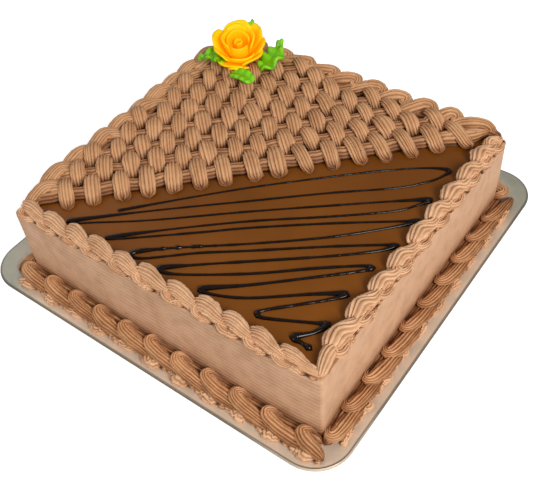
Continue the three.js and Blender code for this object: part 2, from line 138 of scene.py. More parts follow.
class Mass:
    """Gathers strokes and sheets, each with a value of 0 to 1 at every point, for one mesh."""

    def __init__(self):
        self.points, self.quads, self.triangles, self.values, self.count = [], [], [], [], 0

    def add(self, points, quads, triangles, values):
        """Adds a body by its points, faces and values."""
        self.points.append(points)
        self.quads.append(quads + self.count)
        self.triangles.append(triangles + self.count)
        self.values.append(values)
        self.count += len(points)

    def tube(self, place, rings, poles, values, pole_value=0.0):
        """Adds rings of points as one tube, which a fan round a pole closes at each end."""
        rows, around = rings.shape[:2]
        j = np.arange(around)
        after = (j + 1) % around
        start = xyz(rows * around, after, j)
        end = xyz(rows * around + 1, (rows - 1) * around + j, (rows - 1) * around + after)
        values = np.append(np.broadcast_to(values, (rows, around)), [pole_value, pole_value])
        self.add(place(np.vstack([rings.reshape(-1, 3), poles])), quads_of_grid(rows, around, True),
                 np.vstack([start, end]), values)

    def block(self, place, layers, low, high):
        """Adds a closed block from layers, each an outline, its height and its value. Its two poles are
        at the low and the high height."""
        rings = np.stack([xyz(flat[:, 0], flat[:, 1], height) for flat, height, _ in layers])
        values = np.stack([np.broadcast_to(value, len(flat)) for flat, _, value in layers])
        self.tube(place, rings, [[0, 0, low], [0, 0, high]], values)

    def mesh(self, name, attribute):
        """One smooth mesh of all that was gathered, in metres."""
        points = np.vstack(self.points) * MM
        quads, triangles = np.vstack(self.quads), np.vstack(self.triangles)
        mesh = bpy.data.meshes.new(name)
        mesh.vertices.add(len(points))
        mesh.vertices.foreach_set("co", points.ravel())
        mesh.loops.add(quads.size + triangles.size)
        mesh.loops.foreach_set("vertex_index", np.concatenate([quads.ravel(), triangles.ravel()]))
        mesh.polygons.add(len(quads) + len(triangles))
        starts = np.append(np.arange(len(quads)) * 4, quads.size + np.arange(len(triangles)) * 3)
        mesh.polygons.foreach_set("loop_start", starts)
        mesh.polygons.foreach_set("use_smooth", np.ones(len(starts), bool))
        mesh.update(calc_edges=True)
        layer = mesh.attributes.new(attribute, "FLOAT", "POINT")
        layer.data.foreach_set("value", np.concatenate(self.values))
        return mesh


def piece(name, mass, material, node, attribute="groove", sheets=False):
    """Puts a mass in the scene as one object that rides on the body and stands for a CAD node. Where it
    is made of sheets, the two faces of each are joined at the rim."""
    mesh = mass.mesh(name, attribute)
    if sheets:
        work = bmesh.new()
        work.from_mesh(mesh)
        bmesh.ops.remove_doubles(work, verts=work.verts, dist=0.001 * MM)
        bmesh.ops.recalc_face_normals(work, faces=work.faces)
        work.to_mesh(mesh)
        work.free()
    mesh.materials.append(material)
    made = bpy.data.objects.new(name, mesh)
    bpy.context.scene.collection.objects.link(made)
    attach(made, "root")
    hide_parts(node)


def wander(rng, rows, count):
    """Smooth random values down every column, mostly between -1 and 1: sums of seven random values."""
    raw = rng.normal(size=(rows + 6, count))
    return sum(raw[i:i + rows] for i in range(7)) / math.sqrt(7)


def star_section(ridges, fine, sharp, rng):
    """Angles round a star tip's section, how far each point stands on its ridge, and the ridge's number.
    A ridge rises from 0 in the valley to 1 on a crest, rounded or sharp, and no two are equally wide."""
    width = rng.uniform(0.7, 1.4, ridges)
    edge = np.append(0, np.cumsum(width)) / width.sum() * 2 * math.pi - math.pi / 2
    step = np.arange(fine) / fine
    away = np.abs(2 * step - 1)
    crest = (1 - sharp) * (1 - away ** 2) ** 0.6 + sharp * (1 - away) ** 1.4
    turn = (edge[:-1, None] + np.diff(edge)[:, None] * step).ravel()
    return turn, np.tile(crest, ridges), np.repeat(np.arange(ridges), fine)


def cream_stroke(mass, place, path, widths, heights, rng, ridges=10, groove=0.28, sharp=0.5, fine=6,
                 dig=None, ends=(0.1, 0.16), crown=0.0, twist=0.0, tear=0.12, shade=None, row_shade=0.0):
    """A star-tip stroke. Its section is a ring with a radius of 1 - groove in the valleys and 1 on the
    crests, whose strength wanders along them by tear. It is carried along the path, wide by the half
    widths and high by the heights, turned by twist along its length or by a given angle at every row, and
    closes roundly over the shares of its length in ends. dig is how far it goes below the path, and crown
    lets the crests run on past both ends. The value at its points is painted shade that darkens the
    valleys between the crests. shade gives the heights between which painted shade at its points falls
    from dark to none, and stain adds painted shade to each row."""
    rows = len(path)
    turn, crest, own = star_section(ridges, fine, sharp, rng)
    t = np.linspace(0, 1, rows)
    strength = rng.uniform(0.72, 1.12, ridges) + tear * wander(rng, rows, ridges)
    radius = 1 - groove + groove * crest * strength[:, own]
    angle = turn + np.broadcast_to(twist if np.ndim(twist) else twist * t, rows)[:, None]
    across, rise = np.cos(angle) * radius, np.sin(angle) * radius
    ahead, side, above = directions(path)
    closing = np.minimum(1, np.minimum(t / ends[0], (1 - t) / ends[1]))
    closing = np.clip(np.sqrt(np.clip(1 - (1 - closing) ** 2, 0, 1)), 0.06, 1)
    wide = (widths * closing * (1 + 0.03 * wander(rng, rows, 1)[:, 0]))[:, None]
    high = (heights * closing * (1 + 0.03 * wander(rng, rows, 1)[:, 0]))[:, None]
    low = high if dig is None else dig * closing[:, None]
    lift = np.where(rise > 0, rise * high, rise * low)
    longer = rng.uniform(0.4, 1.3, ridges)
    reach = (np.clip(1 - t / 0.14, 0, 1) - 0.5 * np.clip((t - 0.86) / 0.14, 0, 1))[:, None]
    reach = reach * (crest * longer[own] - 0.4) * crown
    points = path[:, None] + side[:, None] * (across * wide)[..., None] + above[:, None] * lift[..., None]
    points = points - ahead[:, None] * reach[..., None]
    poles = np.stack([path[0] - ahead[0] * 0.02 * wide[0], path[-1] + ahead[-1] * 0.02 * wide[-1]])
    # Painted shade: darker towards the valleys between the crests, with a little random tone on each ridge
    values = 0.46 * (1 - crest) ** 1.5 + rng.uniform(-0.08, 0.08, ridges)[own]
    # Painted shade added row by row, as in pits and gaps
    values = values + np.broadcast_to(row_shade, rows)[:, None]
    if shade:
        values = values + 0.7 * np.clip((shade[1] - points[..., 2]) / (shade[1] - shade[0]), 0, 1)
    mass.tube(place, points, poles, np.clip(values, 0, 1), 0.5)


def curved_stroke(mass, place, points, count, rng, low=0.0, share=1.0, **form):
    """A star-tip stroke along the smooth curve through points of place and half width. It is as high as
    low plus a share of its half width."""
    path = smooth_path(points, count)
    cream_stroke(mass, place, path[:, :3], path[:, 3], low + share * path[:, 3], rng, **form)


def smooth_thread(mass, place, path, radii, around):
    """A round thread: a circle of the given radii carried along the path, closed at both ends."""
    ahead, side, above = directions(path)
    turn = (np.arange(around) * 2 * math.pi / around)[:, None]
    ring = side[:, None] * np.cos(turn) + above[:, None] * np.sin(turn)
    poles = [path[0] - ahead[0] * radii[0], path[-1] + ahead[-1] * radii[-1]]
    mass.tube(place, path[:, None] + ring * radii[:, None, None], poles, 0.0)


def thin_sheet(mass, place, surface, columns, rows, thickness, values):
    """A thin closed body round a surface of two parameters, p from -1 to 1 and q from 0 to 1. It is as
    thick as given in the middle and rounds off to nothing at its rim, where the two faces meet."""
    q, p = np.meshgrid(np.linspace(0, 1, rows), np.linspace(-1, 1, columns), indexing="ij")
    step = 1e-3
    here = surface(p, q)
    across = surface(p + step, q) - surface(p - step, q)
    along = surface(p, q + step) - surface(p, q - step)
    normal = np.cross(across, along)
    normal /= np.maximum(np.linalg.norm(normal, axis=-1), 1e-12)[..., None]
    rim = np.sqrt(np.clip(1 - np.abs(p) ** 8, 0, 1) * np.clip(1 - np.abs(2 * q - 1) ** 10, 0, 1))
    half = (thickness / 2 * rim)[..., None] * normal
    quads = quads_of_grid(rows, columns, False)
    points = np.vstack([(here + half).reshape(-1, 3), (here - half).reshape(-1, 3)])
    faces = np.vstack([quads, quads[:, ::-1] + rows * columns])
    mass.add(place(points), faces, np.zeros((0, 3), int), np.tile(values(p, q).ravel(), 2))


# Materials

def feed(tree, socket, value):
    """Joins an output to a socket, or gives the socket a value of its own."""
    if isinstance(value, bpy.types.NodeSocket):
        tree.links.new(value, socket)
    else:
        socket.default_value = value


def add_node(tree, kind, inputs=None, **settings):
    """A shader node with its settings, and its inputs given as values or as outputs to join."""
    node = tree.nodes.new(kind)
    for key, value in settings.items():
        setattr(node, key, value)
    for key, value in (inputs or {}).items():
        feed(tree, node.inputs[key], value)
    return node


def noise(tree, place, scale, detail, roughness=0.5):
    """Noise over the given places, mostly between 0.3 and 0.7."""
    inputs = {"Vector": place, "Scale": scale, "Detail": detail, "Roughness": roughness}
    return add_node(tree, "ShaderNodeTexNoise", inputs).outputs["Fac"]


def work_out(tree, operation, first, second=0.0, clamp=False):
    """One sum with two values, kept between 0 and 1 where that is asked for."""
    inputs = {0: first, 1: second}
    return add_node(tree, "ShaderNodeMath", inputs, operation=operation, use_clamp=clamp).outputs[0]


def ranged(tree, value, low, high, new_low, new_high):
    """A value carried from one range over to another, and kept within it."""
    return add_node(tree, "ShaderNodeMapRange", {
        "Value": value, "From Min": low, "From Max": high, "To Min": new_low, "To Max": new_high,
    }).outputs["Result"]


def varied(tree, tone, low, high):
    """A value that goes from low to high as a noise goes over its usual spread."""
    return ranged(tree, tone, 0.3, 0.7, low, high)


def point_value(tree, attribute):
    """The value that the piece's points hold."""
    return add_node(tree, "ShaderNodeAttribute", attribute_name=attribute).outputs["Fac"]


def add_ramp(tree, factor, stops):
    """A colour ramp with the given (place, colour) stops."""
    node = add_node(tree, "ShaderNodeValToRGB", {"Fac": factor})
    while len(node.color_ramp.elements) < len(stops):
        node.color_ramp.elements.new(0.5)
    for element, (place, colour) in zip(node.color_ramp.elements, stops):
        element.position = place
        element.color = (*colour, 1.0)
    return node.outputs["Color"]


def times(colour, share):
    """A colour made darker or lighter."""
    return [min(1, c * share) for c in colour]


def mixed(tree, factor, first, second):
    """An output's colour and a plain colour, mixed by a factor."""
    inputs = {"Factor": factor, 6: first, 7: (*second, 1.0)}
    return add_node(tree, "ShaderNodeMix", inputs, data_type="RGBA").outputs[2]


def relief(tree, height, strength, depth):
    """A normal that follows a height, with a strength and a depth in metres."""
    inputs = {"Height": height, "Strength": strength, "Distance": depth}
    return add_node(tree, "ShaderNodeBump", inputs).outputs["Normal"]


def start_material(name):
    """A node material with its tree and object coordinates."""
    material = bpy.data.materials.new(name)
    material.use_nodes = True
    tree = material.node_tree
    return material, tree, add_node(tree, "ShaderNodeTexCoord").outputs["Object"]


def dress(material, inputs):
    """Gives the material's shader its inputs, as values or as outputs to join."""
    tree = material.node_tree
    for key, value in inputs.items():
        feed(tree, tree.nodes["Principled BSDF"].inputs[key], value)
    return material


def cream_grain_group():
    """Soft mottling and fine grain of whipped cream, with a few air pits: a height, a tone and a pit
    mask. The height is the mottling plus a part of the grain, less the pits."""
    if "Cream grain" in bpy.data.node_groups:
        return bpy.data.node_groups["Cream grain"]
    tree = bpy.data.node_groups.new("Cream grain", "ShaderNodeTree")
    tree.interface.new_socket("Place", in_out="INPUT", socket_type="NodeSocketVector")
    for label, value in (("Grain", 900.0), ("Mottle", 90.0), ("Pits", 260.0), ("Pit share", 0.12)):
        socket = tree.interface.new_socket(label, in_out="INPUT", socket_type="NodeSocketFloat")
        socket.default_value = value
    given = tree.nodes.new("NodeGroupInput").outputs
    place = given["Place"]
    grain = noise(tree, place, given["Grain"], 3.0, 0.55)
    mottle = noise(tree, place, given["Mottle"], 3.0, 0.6)
    cells = add_node(tree, "ShaderNodeTexVoronoi", {"Vector": place, "Scale": given["Pits"]}).outputs
    near = ranged(tree, cells["Distance"], 0.06, 0.16, 1.0, 0.0)
    pick = add_node(tree, "ShaderNodeSeparateColor", {"Color": cells["Color"]}).outputs["Red"]
    pit = work_out(tree, "MULTIPLY", near, work_out(tree, "LESS_THAN", pick, given["Pit share"]))
    level = work_out(tree, "ADD", mottle, work_out(tree, "MULTIPLY", grain, 0.35))
    height = work_out(tree, "SUBTRACT", level, pit)
    out = tree.nodes.new("NodeGroupOutput")
    for label, value in (("Height", height), ("Tone", mottle), ("Pit", pit)):
        tree.interface.new_socket(label, in_out="OUTPUT", socket_type="NodeSocketFloat")
        tree.links.new(value, out.inputs[label])
    return tree


def cream_grain(tree, place, grain=900.0, pit_share=0.0):
    """The outputs of the cream grain group, placed in a material with its own values."""
    inputs = {"Place": place, "Grain": grain, "Pit share": pit_share}
    return add_node(tree, "ShaderNodeGroup", inputs, node_tree=cream_grain_group()).outputs


def cream_material(name, crest, groove, rough=0.5, grain=900.0, pit_share=0.12, strength=0.35):
    """Whipped cream with painted shade: by the value at its points its colour goes from the crest colour to
    the groove colour, which is painted shade, and on to the near-black painted shadow of the holes. It is
    mottled, grained and pitted, and its pits take a painted shade of the groove colour."""
    material, tree, place = start_material(name)
    effect = cream_grain(tree, place, grain, pit_share)
    tone = varied(tree, effect["Tone"], -0.1, 0.14)
    share = work_out(tree, "ADD", point_value(tree, "groove"), tone, clamp=True)
    # Near-black painted shadow for the holes between strokes
    hole = bpy.context.scene.cake_colours.cream_shadow
    colour = add_ramp(tree, share, [(0.0, crest), (0.5, groove), (1.0, hole)])
    return dress(material, {
        # Air pits take a painted shade of the groove colour
        "Base Color": mixed(tree, effect["Pit"], colour, times(groove, 0.45)),
        "Roughness": varied(tree, effect["Tone"], rough - 0.06, rough + 0.08),
        "Specular IOR Level": 0.35,
        "Normal": relief(tree, effect["Height"], strength, 0.0006),
    })


def glaze_material(colours):
    """Set chocolate glaze: even brown with faint cloudy patches, satin."""
    material, tree, place = start_material("poured glaze")
    cloud, speck = noise(tree, place, 14.0, 4.0), noise(tree, place, 700.0, 2.0)
    stops = [(0.35, times(colours.glaze, 0.86)), (0.65, times(colours.glaze, 1.12))]
    level = work_out(tree, "ADD", work_out(tree, "MULTIPLY", speck, 0.1), cloud)
    return dress(material, {
        "Base Color": add_ramp(tree, cloud, stops),
        "Roughness": varied(tree, cloud, 0.26, 0.4),
        "Specular IOR Level": 0.2,
        "Normal": relief(tree, level, 0.25, 0.0008),
    })


def drizzle_material(colours):
    """Dark chocolate drizzle: nearly black, glossy, with streaks that vary its gloss."""
    material, tree, place = start_material("drizzle")
    streak = noise(tree, place, 160.0, 3.0)
    return dress(material, {
        "Base Color": add_ramp(tree, streak, [(0.35, colours.drizzle), (0.7, times(colours.drizzle, 1.9))]),
        "Roughness": varied(tree, streak, 0.07, 0.17),
        "Specular IOR Level": 0.3,
        "Normal": relief(tree, streak, 0.1, 0.0004),
    })


def foil_material(colours):
    """Foil over card: fine embossed cells and soft dents in a dull silver, with painted shade in the crease
    by its rim and under the rim. Along the cake it holds a painted reflection of the cream's tone, and at
    the left and right corners it stays grey."""
    material, tree, place = start_material("board foil")
    cells = add_node(tree, "ShaderNodeTexVoronoi", {"Vector": place, "Scale": 900.0}).outputs["Distance"]
    dents = noise(tree, place, 60.0, 5.0)
    split = add_node(tree, "ShaderNodeSeparateXYZ", {"Vector": place}).outputs
    across = work_out(tree, "ABSOLUTE", work_out(tree, "ADD", split["X"], split["Y"]))
    # Mask of the foil beside the cake, away from the left and right corners
    warm = ranged(tree, across, 0.243, 0.275, 1.0, 0.0)
    # Painted reflection of the cream on the foil beside the cake, patchy with the dents
    reflected_tone = work_out(tree, "MULTIPLY", warm, work_out(tree, "ADD", dents, 0.42), clamp=True)
    grey = add_ramp(tree, dents, [(0.3, times(colours.foil, 0.8)), (0.7, colours.foil)])
    toned = mixed(tree, reflected_tone, grey, colours.foil_cream_reflection)
    level = work_out(tree, "ADD", work_out(tree, "MULTIPLY", cells, 0.3), dents)
    return dress(material, {
        # Painted shade under the rim and along the crease, by the value at the points
        "Base Color": mixed(tree, point_value(tree, "groove"), toned, times(colours.foil, 0.12)),
        "Roughness": varied(tree, dents, 0.3, 0.44),
        "Metallic": 0.25,
        "Normal": relief(tree, level, 0.4, 0.0006),
    })


def coloured_cream(name, stops, mottling, rough, flesh, strength, depth):
    """Coloured cream without pits: its colour goes by the value at its points plus a share of the
    mottling, and light goes a little way in, as flesh says for red, green and blue."""
    material, tree, place = start_material(name)
    effect = cream_grain(tree, place)
    uneven = work_out(tree, "MULTIPLY", work_out(tree, "ADD", effect["Tone"], -0.5), mottling)
    share = work_out(tree, "ADD", point_value(tree, "depth"), uneven, clamp=True)
    colour = add_ramp(tree, share, stops)
    dress(material, {
        "Base Color": colour,
        "Roughness": rough,
        "Subsurface Weight": 0.15,
        "Subsurface Radius": flesh,
        "Normal": relief(tree, effect["Height"], strength, depth),
    })
    return material, colour


def petal_material(colours):
    """Yellow cream petals: pale at the rim and orange deep inside, with a faint painted glow, emission of
    their own colour.
    """
    stops = [(0.0, colours.petal_rim), (0.35, colours.petal), (1.0, colours.petal_deep)]
    flesh = (0.004, 0.002, 0.0004)
    material, colour = coloured_cream("petal cream", stops, 0.4, 0.5, flesh, 0.3, 0.0005)
    # Painted glow: the petals give off their own colour as emission
    return dress(material, {"Emission Color": colour, "Emission Strength": 0.2, "Specular IOR Level": 0.2})


def leaf_material(colours):
    """Green cream leaves with painted shade: bright on the ripples' crests and darker in the folds,
    slightly wet.
    """
    stops = [(0.0, colours.leaf), (1.0, colours.leaf_shaded)]
    return coloured_cream("leaf cream", stops, 1.0, 0.36, (0.001, 0.003, 0.0004), 0.4, 0.0006)[0]


def floor_material():
    """A pale, even floor with the faintest clouds, which is brighter to the camera than to the cake."""
    material, tree, place = start_material("pale floor")
    stops = [(0.3, (0.93, 0.93, 0.93)), (0.7, (0.96, 0.96, 0.96))]
    seen = add_node(tree, "ShaderNodeLightPath").outputs["Is Camera Ray"]
    return dress(material, {
        "Base Color": add_ramp(tree, noise(tree, place, 3.0, 2.0), stops),
        "Roughness": 0.8,
        "Emission Color": (1.0, 1.0, 1.0, 1.0),
        "Emission Strength": work_out(tree, "MULTIPLY", seen, 0.6),
    })


def once(name, make, *values, **more):
    """The material of that name, made the first time it is asked for."""
    return bpy.data.materials.get(name) or make(*values, **more)


def piped_cream():
    """The cream of the weave and of the commas along the foot."""
    colours = bpy.context.scene.cake_colours
    return once("piped cream", cream_material, "piped cream", colours.cream, colours.cream_shaded)


def border_cream():
    """The lighter cream of the borders along the top and of the lips along the foot. On the lips its
    lighter colour is painted light.
    """
    colours = bpy.context.scene.cake_colours
    return once("border cream", cream_material, "border cream", colours.border, colours.border_shaded)


# Properties

def length_property(name, description, default):
    """A length property in metres."""
    return bpy.props.FloatProperty(name=name, description=description, default=default, unit="LENGTH")


def colour_property(name, description, default):
    """A colour property in linear values."""
    return bpy.props.FloatVectorProperty(name=name, description=description, default=default, size=3,
                                         subtype="COLOR", min=0.0, max=1.0)


class CakeSizes(bpy.types.PropertyGroup):
    """Sizes of the cake and its piping."""
    board_side: length_property("Board side", "Length of a side of the board", 0.305)
    board_thickness: length_property("Board thickness", "Height of the foil-covered card", 0.003)
    board_corner: length_property("Board corner radius", "Radius of the board's corners", 0.027)
    half_x: length_property("Half length X", "Half of the cake's length along X", 0.125)
    half_y: length_property("Half length Y", "Half of the cake's length along Y", 0.1235)
    cake_top: length_property("Cake top", "Height of the iced top above the floor", 0.0647)
    glaze_thickness: length_property("Glaze thickness", "Thickness of the glaze", 0.0011)
    strand_pitch: length_property("Strand pitch", "Distance between woven strands", 0.0175)
    band_pitch: length_property("Band pitch", "Distance between bands of one strand", 0.0184)
    rose_radius: length_property("Rose radius", "Radius of the rose's outer petals", 0.0205)


class CakeColours(bpy.types.PropertyGroup):
    """Colours of the cake's creams, glaze and foil."""
    cream: colour_property("Cream", "Piped cream on its ridges", (0.77, 0.42, 0.207))
    # Painted shade: the piped cream's colour in its grooves
    cream_shaded: colour_property("Deep cream", "Piped cream in its grooves", (0.35, 0.14, 0.05))
    # Painted shadow: near-black cream deep between strokes, in gaps and hollows
    cream_shadow: colour_property("Cream hole", "Piped cream deep between strokes", (0.06, 0.018, 0.006))
    border: colour_property("Border cream", "Cream of the top borders and foot lips", (0.86, 0.52, 0.3))
    # Painted shade of the border cream in its grooves
    border_shaded: colour_property("Deep border", "Grooves of the border cream", (0.46, 0.21, 0.09))
    wall: colour_property("Wall cream", "Spread cream of the walls", (0.68, 0.4, 0.24))
    # Painted shade of the wall cream in the comb's grooves and low down
    wall_shaded: colour_property("Wall groove", "Spread cream in the comb's grooves", (0.36, 0.16, 0.07))
    glaze: colour_property("Glaze", "Chocolate glaze", (0.225, 0.068, 0.006))
    drizzle: colour_property("Drizzle", "Dark chocolate drizzle", (0.006, 0.0025, 0.0015))
    foil: colour_property("Foil", "Foil of the board", (0.5, 0.49, 0.39))
    # Painted reflection of the cream in the foil along the cake
    foil_cream_reflection: colour_property("Warm foil", "Foil along the cake", (0.87, 0.69, 0.53))
    petal_rim: colour_property("Petal rim", "Rim of the petals", (1.0, 0.64, 0.001))
    petal: colour_property("Petal", "Middle of the petals", (1.0, 0.475, 0.001))
    petal_deep: colour_property("Petal heart", "Deep inside the rose", (1.0, 0.36, 0.0))
    leaf: colour_property("Leaf", "Crests of the leaves", (0.28, 0.76, 0.006))
    # Painted shade of the leaves' folds and midrib
    leaf_shaded: colour_property("Leaf fold", "Folds of the leaves", (0.11, 0.44, 0.002))


# Operators, one for each piece or group of like pieces

def rounded_square(half_x, half_y, radius, straight, corner):
    """Points and outward directions round a rectangle with rounded corners, counter-clockwise."""
    points, outward = [], []
    turns = np.linspace(0, math.pi / 2, corner)
    middles = [np.array([(half_x - radius) * x, (half_y - radius) * y])
               for x, y in ((1, 1), (-1, 1), (-1, -1), (1, -1))]
    for i, middle in enumerate(middles):
        way = np.stack([np.cos(turns + i * math.pi / 2), np.sin(turns + i * math.pi / 2)], -1)
        share = np.linspace(0, 1, straight)[1:-1, None]
        line = middle * (1 - share) + middles[(i + 1) % 4] * share + radius * way[-1]
        points += [middle + radius * way, line]
        outward += [way, np.repeat(way[-1:], straight - 2, axis=0)]
    return np.vstack(points), np.vstack(outward)


class CAKE_OT_board(bpy.types.Operator):
    """Lays the foil-covered board"""
    bl_idname = "cake.board"
    bl_label = "Board"

    # Radius of the rolled rim in millimetres
    RIM = 0.8
    # Painted shade on the foil from under the rim to over it: everywhere, and added away from the near
    # corner
    RIM_SHADE = [(1, 0), (1, -0.4), (0.7, -0.4), (0, 0.1), (0, 0.5),
                 (0, 0.9), (0, 0.9), (0, 0.8), (0, 0.6)]
    # How far in the lines of the crease lie, and how dark the painted shade on each is: everywhere, and
    # added at that corner
    CREASE = [(0.1, 0.6, 0.3), (0.5, 0.5, 0.4), (0.9, 0.2, 0.3), (1.3, 0, 0), (2.7, 0, 0)]

    def execute(self, context):
        """The outline is carried round the board's rolled rim: out along the floor, up the edge and in
        over the top, where the foil rises and falls by a slow wave. The value of a layer is the painted
        shade on it, under the rim and along the crease."""
        sizes = context.scene.cake_sizes
        half, thick = sizes.board_side / 2 / MM, sizes.board_thickness / MM
        radius = sizes.board_corner / MM - self.RIM
        outline, outward = rounded_square(half - self.RIM, half - self.RIM, radius, 60, 14)
        near = np.clip(outline @ [1, -1] / (2 * half) - 0.78, 0, 0.2) * 5
        layers = [(outline * s, 0, 0) for s in (0.02, 0.5, 0.9)]
        for turn, (dark, far_dark) in zip(np.linspace(-math.pi / 2, math.pi / 2, 9), self.RIM_SHADE):
            flat = outline + outward * (self.RIM * np.cos(turn))
            layers.append((flat, thick / 2 + (thick / 2) * np.sin(turn), dark + far_dark * (1 - near)))
        for inset, dark, near_dark in self.CREASE:
            value = dark + near_dark * near
            layers.append((outline - outward * inset, thick - 0.04 - 0.1 * value, value))
        for s in np.linspace(0.97, 0.02, 40):
            flat = outline * s
            dent = 0.12 * np.sin(flat[:, 0] / 17 + 1) * np.sin(flat[:, 1] / 13 + 2) - 0.12
            layers.append((flat, thick + dent, 0))
        mass = Mass()
        mass.block(np.asarray, layers, 0, thick - 0.12)
        material = once("board foil", foil_material, context.scene.cake_colours)
        piece("foil_board", mass, material, "cake_board")
        return {"FINISHED"}


class CAKE_OT_walls(bpy.types.Operator):
    """Builds the iced cake with its combed walls"""
    bl_idname = "cake.walls"
    bl_label = "Iced cake"

    def execute(self, context):
        """The outline is carried up the wall and over its rounded edge to the middle of the top. The comb
        leaves a deep groove at every comb pitch and a fine one between, all the way up on the front left
        wall and the one across from it, and only low down on the other two, where the lines rise to the
        near corner. The wall swells slowly in and out."""
        sizes, colours = context.scene.cake_sizes, context.scene.cake_colours
        foot, top = sizes.board_thickness / MM + GAP, sizes.cake_top / MM
        half_x, half_y = sizes.half_x / MM, sizes.half_y / MM
        outline, outward = rounded_square(half_x, half_y, EDGE_RADIUS, 56, 9)
        around = np.arange(len(outline)) / len(outline) * 2 * math.pi
        combed = np.abs(outward[:, 1]) ** 2
        corner = np.exp(-np.abs(outline[:, 1] + half_y) / 17) * (outline[:, 0] > 0) * (1 - combed)
        layers = [(outline * s, foot, 0) for s in (0.02, 0.6)]
        for z in np.linspace(foot, top - EDGE_RADIUS, 175):
            low = np.clip((26 + 26 * corner - z) / 9, 0, 1)
            share = combed + (1 - combed) * (0.12 + 0.78 * low)
            level = z + 0.5 * np.sin(3 * around + 1) + 0.25 * np.sin(11 * around + z / 9)
            turn = math.pi * (level - 4 * corner * z / 25)
            deep, fine = np.abs(np.sin(turn / COMB_PITCH)), np.abs(np.sin(turn / (COMB_PITCH / 2)))
            line = deep ** 0.6 * (0.75 + 0.25 * fine)
            lower = np.clip((24 - z) / 14, 0, 1)
            swell = 0.25 * np.sin(5 * around + z / 14) + 0.15 * np.sin(9 * around - z / 8) - 0.45
            off = swell - (0.2 + 0.16 * lower) * share * (1 - line)
            # Painted shade: darker in the comb's grooves, more so low down, and darker towards the foot of
            # the wall
            value = (1 - line) * share * (0.26 + 0.3 * lower) + 0.45 * np.clip((15 - z) / 9, 0, 1)
            layers.append((outline + outward * off[:, None], z, value))
        for turn in np.linspace(0.15, math.pi / 2, 7):
            off = -0.5 - 2.6 * (1 - math.cos(turn))
            z = top - EDGE_RADIUS + EDGE_RADIUS * math.sin(turn)
            layers.append((outline + outward * off, z, 0))
        # The top under the glaze and weave takes the near-black painted shadow
        layers += [(outline * s, top, 1) for s in np.linspace(0.96, 0.02, 6)]
        mass = Mass()
        mass.block(from_cake, layers, foot, top)
        material = once("wall cream", cream_material, "wall cream", colours.wall, colours.wall_shaded,
                        0.48, grain=1400.0, pit_share=0.03, strength=0.2)
        piece("combed_walls", mass, material, "iced_cake")
        return {"FINISHED"}


class CAKE_OT_glaze(bpy.types.Operator):
    """Pours the glaze on the front half of the top and pipes the drizzle on it"""
    bl_idname = "cake.glaze"
    bl_label = "Glaze and drizzle"

    # Where the glaze starts along V, under the weave
    START = 4.0
    # The drizzle's route in U and V, from the weave to the near corner
    ROUTE = [
        (-103, -15), (-58, -13), (-13, -12), (32, -13), (76, -15), (109, -19), (124, -25),
        (117, -30), (105, -33), (84, -34), (39, -29), (-15, -25), (-82, -20), (-134, -18),
        (-131, -21), (-119, -23), (-81, -29), (-16, -35), (37, -41), (79, -46), (103, -50),
        (93, -53), (76, -55), (35, -51), (-17, -44), (-72, -40), (-111, -39),
        (-100, -42), (-52, -47), (-18, -50), (33, -57), (79, -65), (90, -67),
        (73, -69), (31, -69), (-20, -64), (-71, -57), (-95, -56),
        (-90, -62), (-54, -65), (-21, -70), (29, -77), (64, -83), (70, -85),
        (58, -87), (27, -85), (-22, -79), (-54, -75), (-79, -73),
        (-69, -80), (-24, -89), (16, -93), (45, -97), (51, -100),
        (44, -101), (14, -100), (-25, -98), (-55, -95),
        (-48, -101), (-27, -108), (12, -113), (31, -117), (20, -119), (-19, -119), (-24, -121),
        (-20, -125), (7, -134), (15, -137), (6, -141), (-6, -142), (-2, -147), (1, -151),
    ]

    def execute(self, context):
        """Glaze: rows across the front half, from the weave to the near corner, each as long as the cake
        is there. Drizzle: a round thread along its route, thin in its runs, thick where it turns and
        towards the near corner, and lumpy in one stretch."""
        sizes, colours = context.scene.cake_sizes, context.scene.cake_colours
        x, y = sizes.half_x / MM - EDGE_RADIUS, sizes.half_y / MM - EDGE_RADIUS
        bottom, thick = sizes.cake_top / MM + GAP, sizes.glaze_thickness / MM
        near = -(x + y) / ROOT2

        def surface(p, q):
            v = self.START + (near - self.START) * q
            left = np.maximum(v - x * ROOT2, -y * ROOT2 - v)
            right = np.minimum(y * ROOT2 - v, x * ROOT2 + v)
            u = left + (right - left) * (p + 1) / 2
            return xyz(u, v, bottom + thick / 2 + 0.03 * np.sin(u / 23 + 1) * np.sin(v / 19))

        layer = Mass()
        thin_sheet(layer, from_weave, surface, 90, 60, thick, lambda p, q: 0 * p)
        material = once("poured glaze", glaze_material, colours)
        piece("glaze_layer", layer, material, "chocolate_glaze", sheets=True)

        rng = np.random.default_rng(4)
        route = np.array(self.ROUTE, float)
        steps = np.diff(route, axis=0)
        before, after = steps[:-1], steps[1:]
        lengths = np.linalg.norm(steps, axis=1)
        cosine = np.sum(before * after, 1) / lengths[:-1] / lengths[1:]
        turning = np.concatenate([[0.6], np.clip((0.6 - cosine) / 1.2, 0, 1), [1.0]])
        nearness = np.clip(-route[:, 1] / 150, 0, 1)
        radius = 0.68 + 0.6 * nearness + (0.9 + 0.25 * nearness) * turning
        height = np.full(len(route), bottom + thick)
        path = smooth_path(np.column_stack([route, height, radius]), 1500)
        u, v, radii = path[:, 0], path[:, 1], path[:, 3]
        lumpy = np.exp(-((u + 62) / 26) ** 2 - ((v + 58.5) / 2.6) ** 2)
        lumpy = lumpy * np.clip(np.sin(0.55 * u) + 0.6 * np.sin(1.3 * u), 0, 1)
        radii = radii * (1 + 0.07 * wander(rng, len(path), 1)[:, 0] + 1.1 * lumpy)
        thread = Mass()
        smooth_thread(thread, from_weave, path[:, :3] + [0, 0, 0.1], radii, 10)
        material = once("drizzle", drizzle_material, colours)
        piece("drizzle_thread", thread, material, "chocolate_glaze")
        return {"FINISHED"}


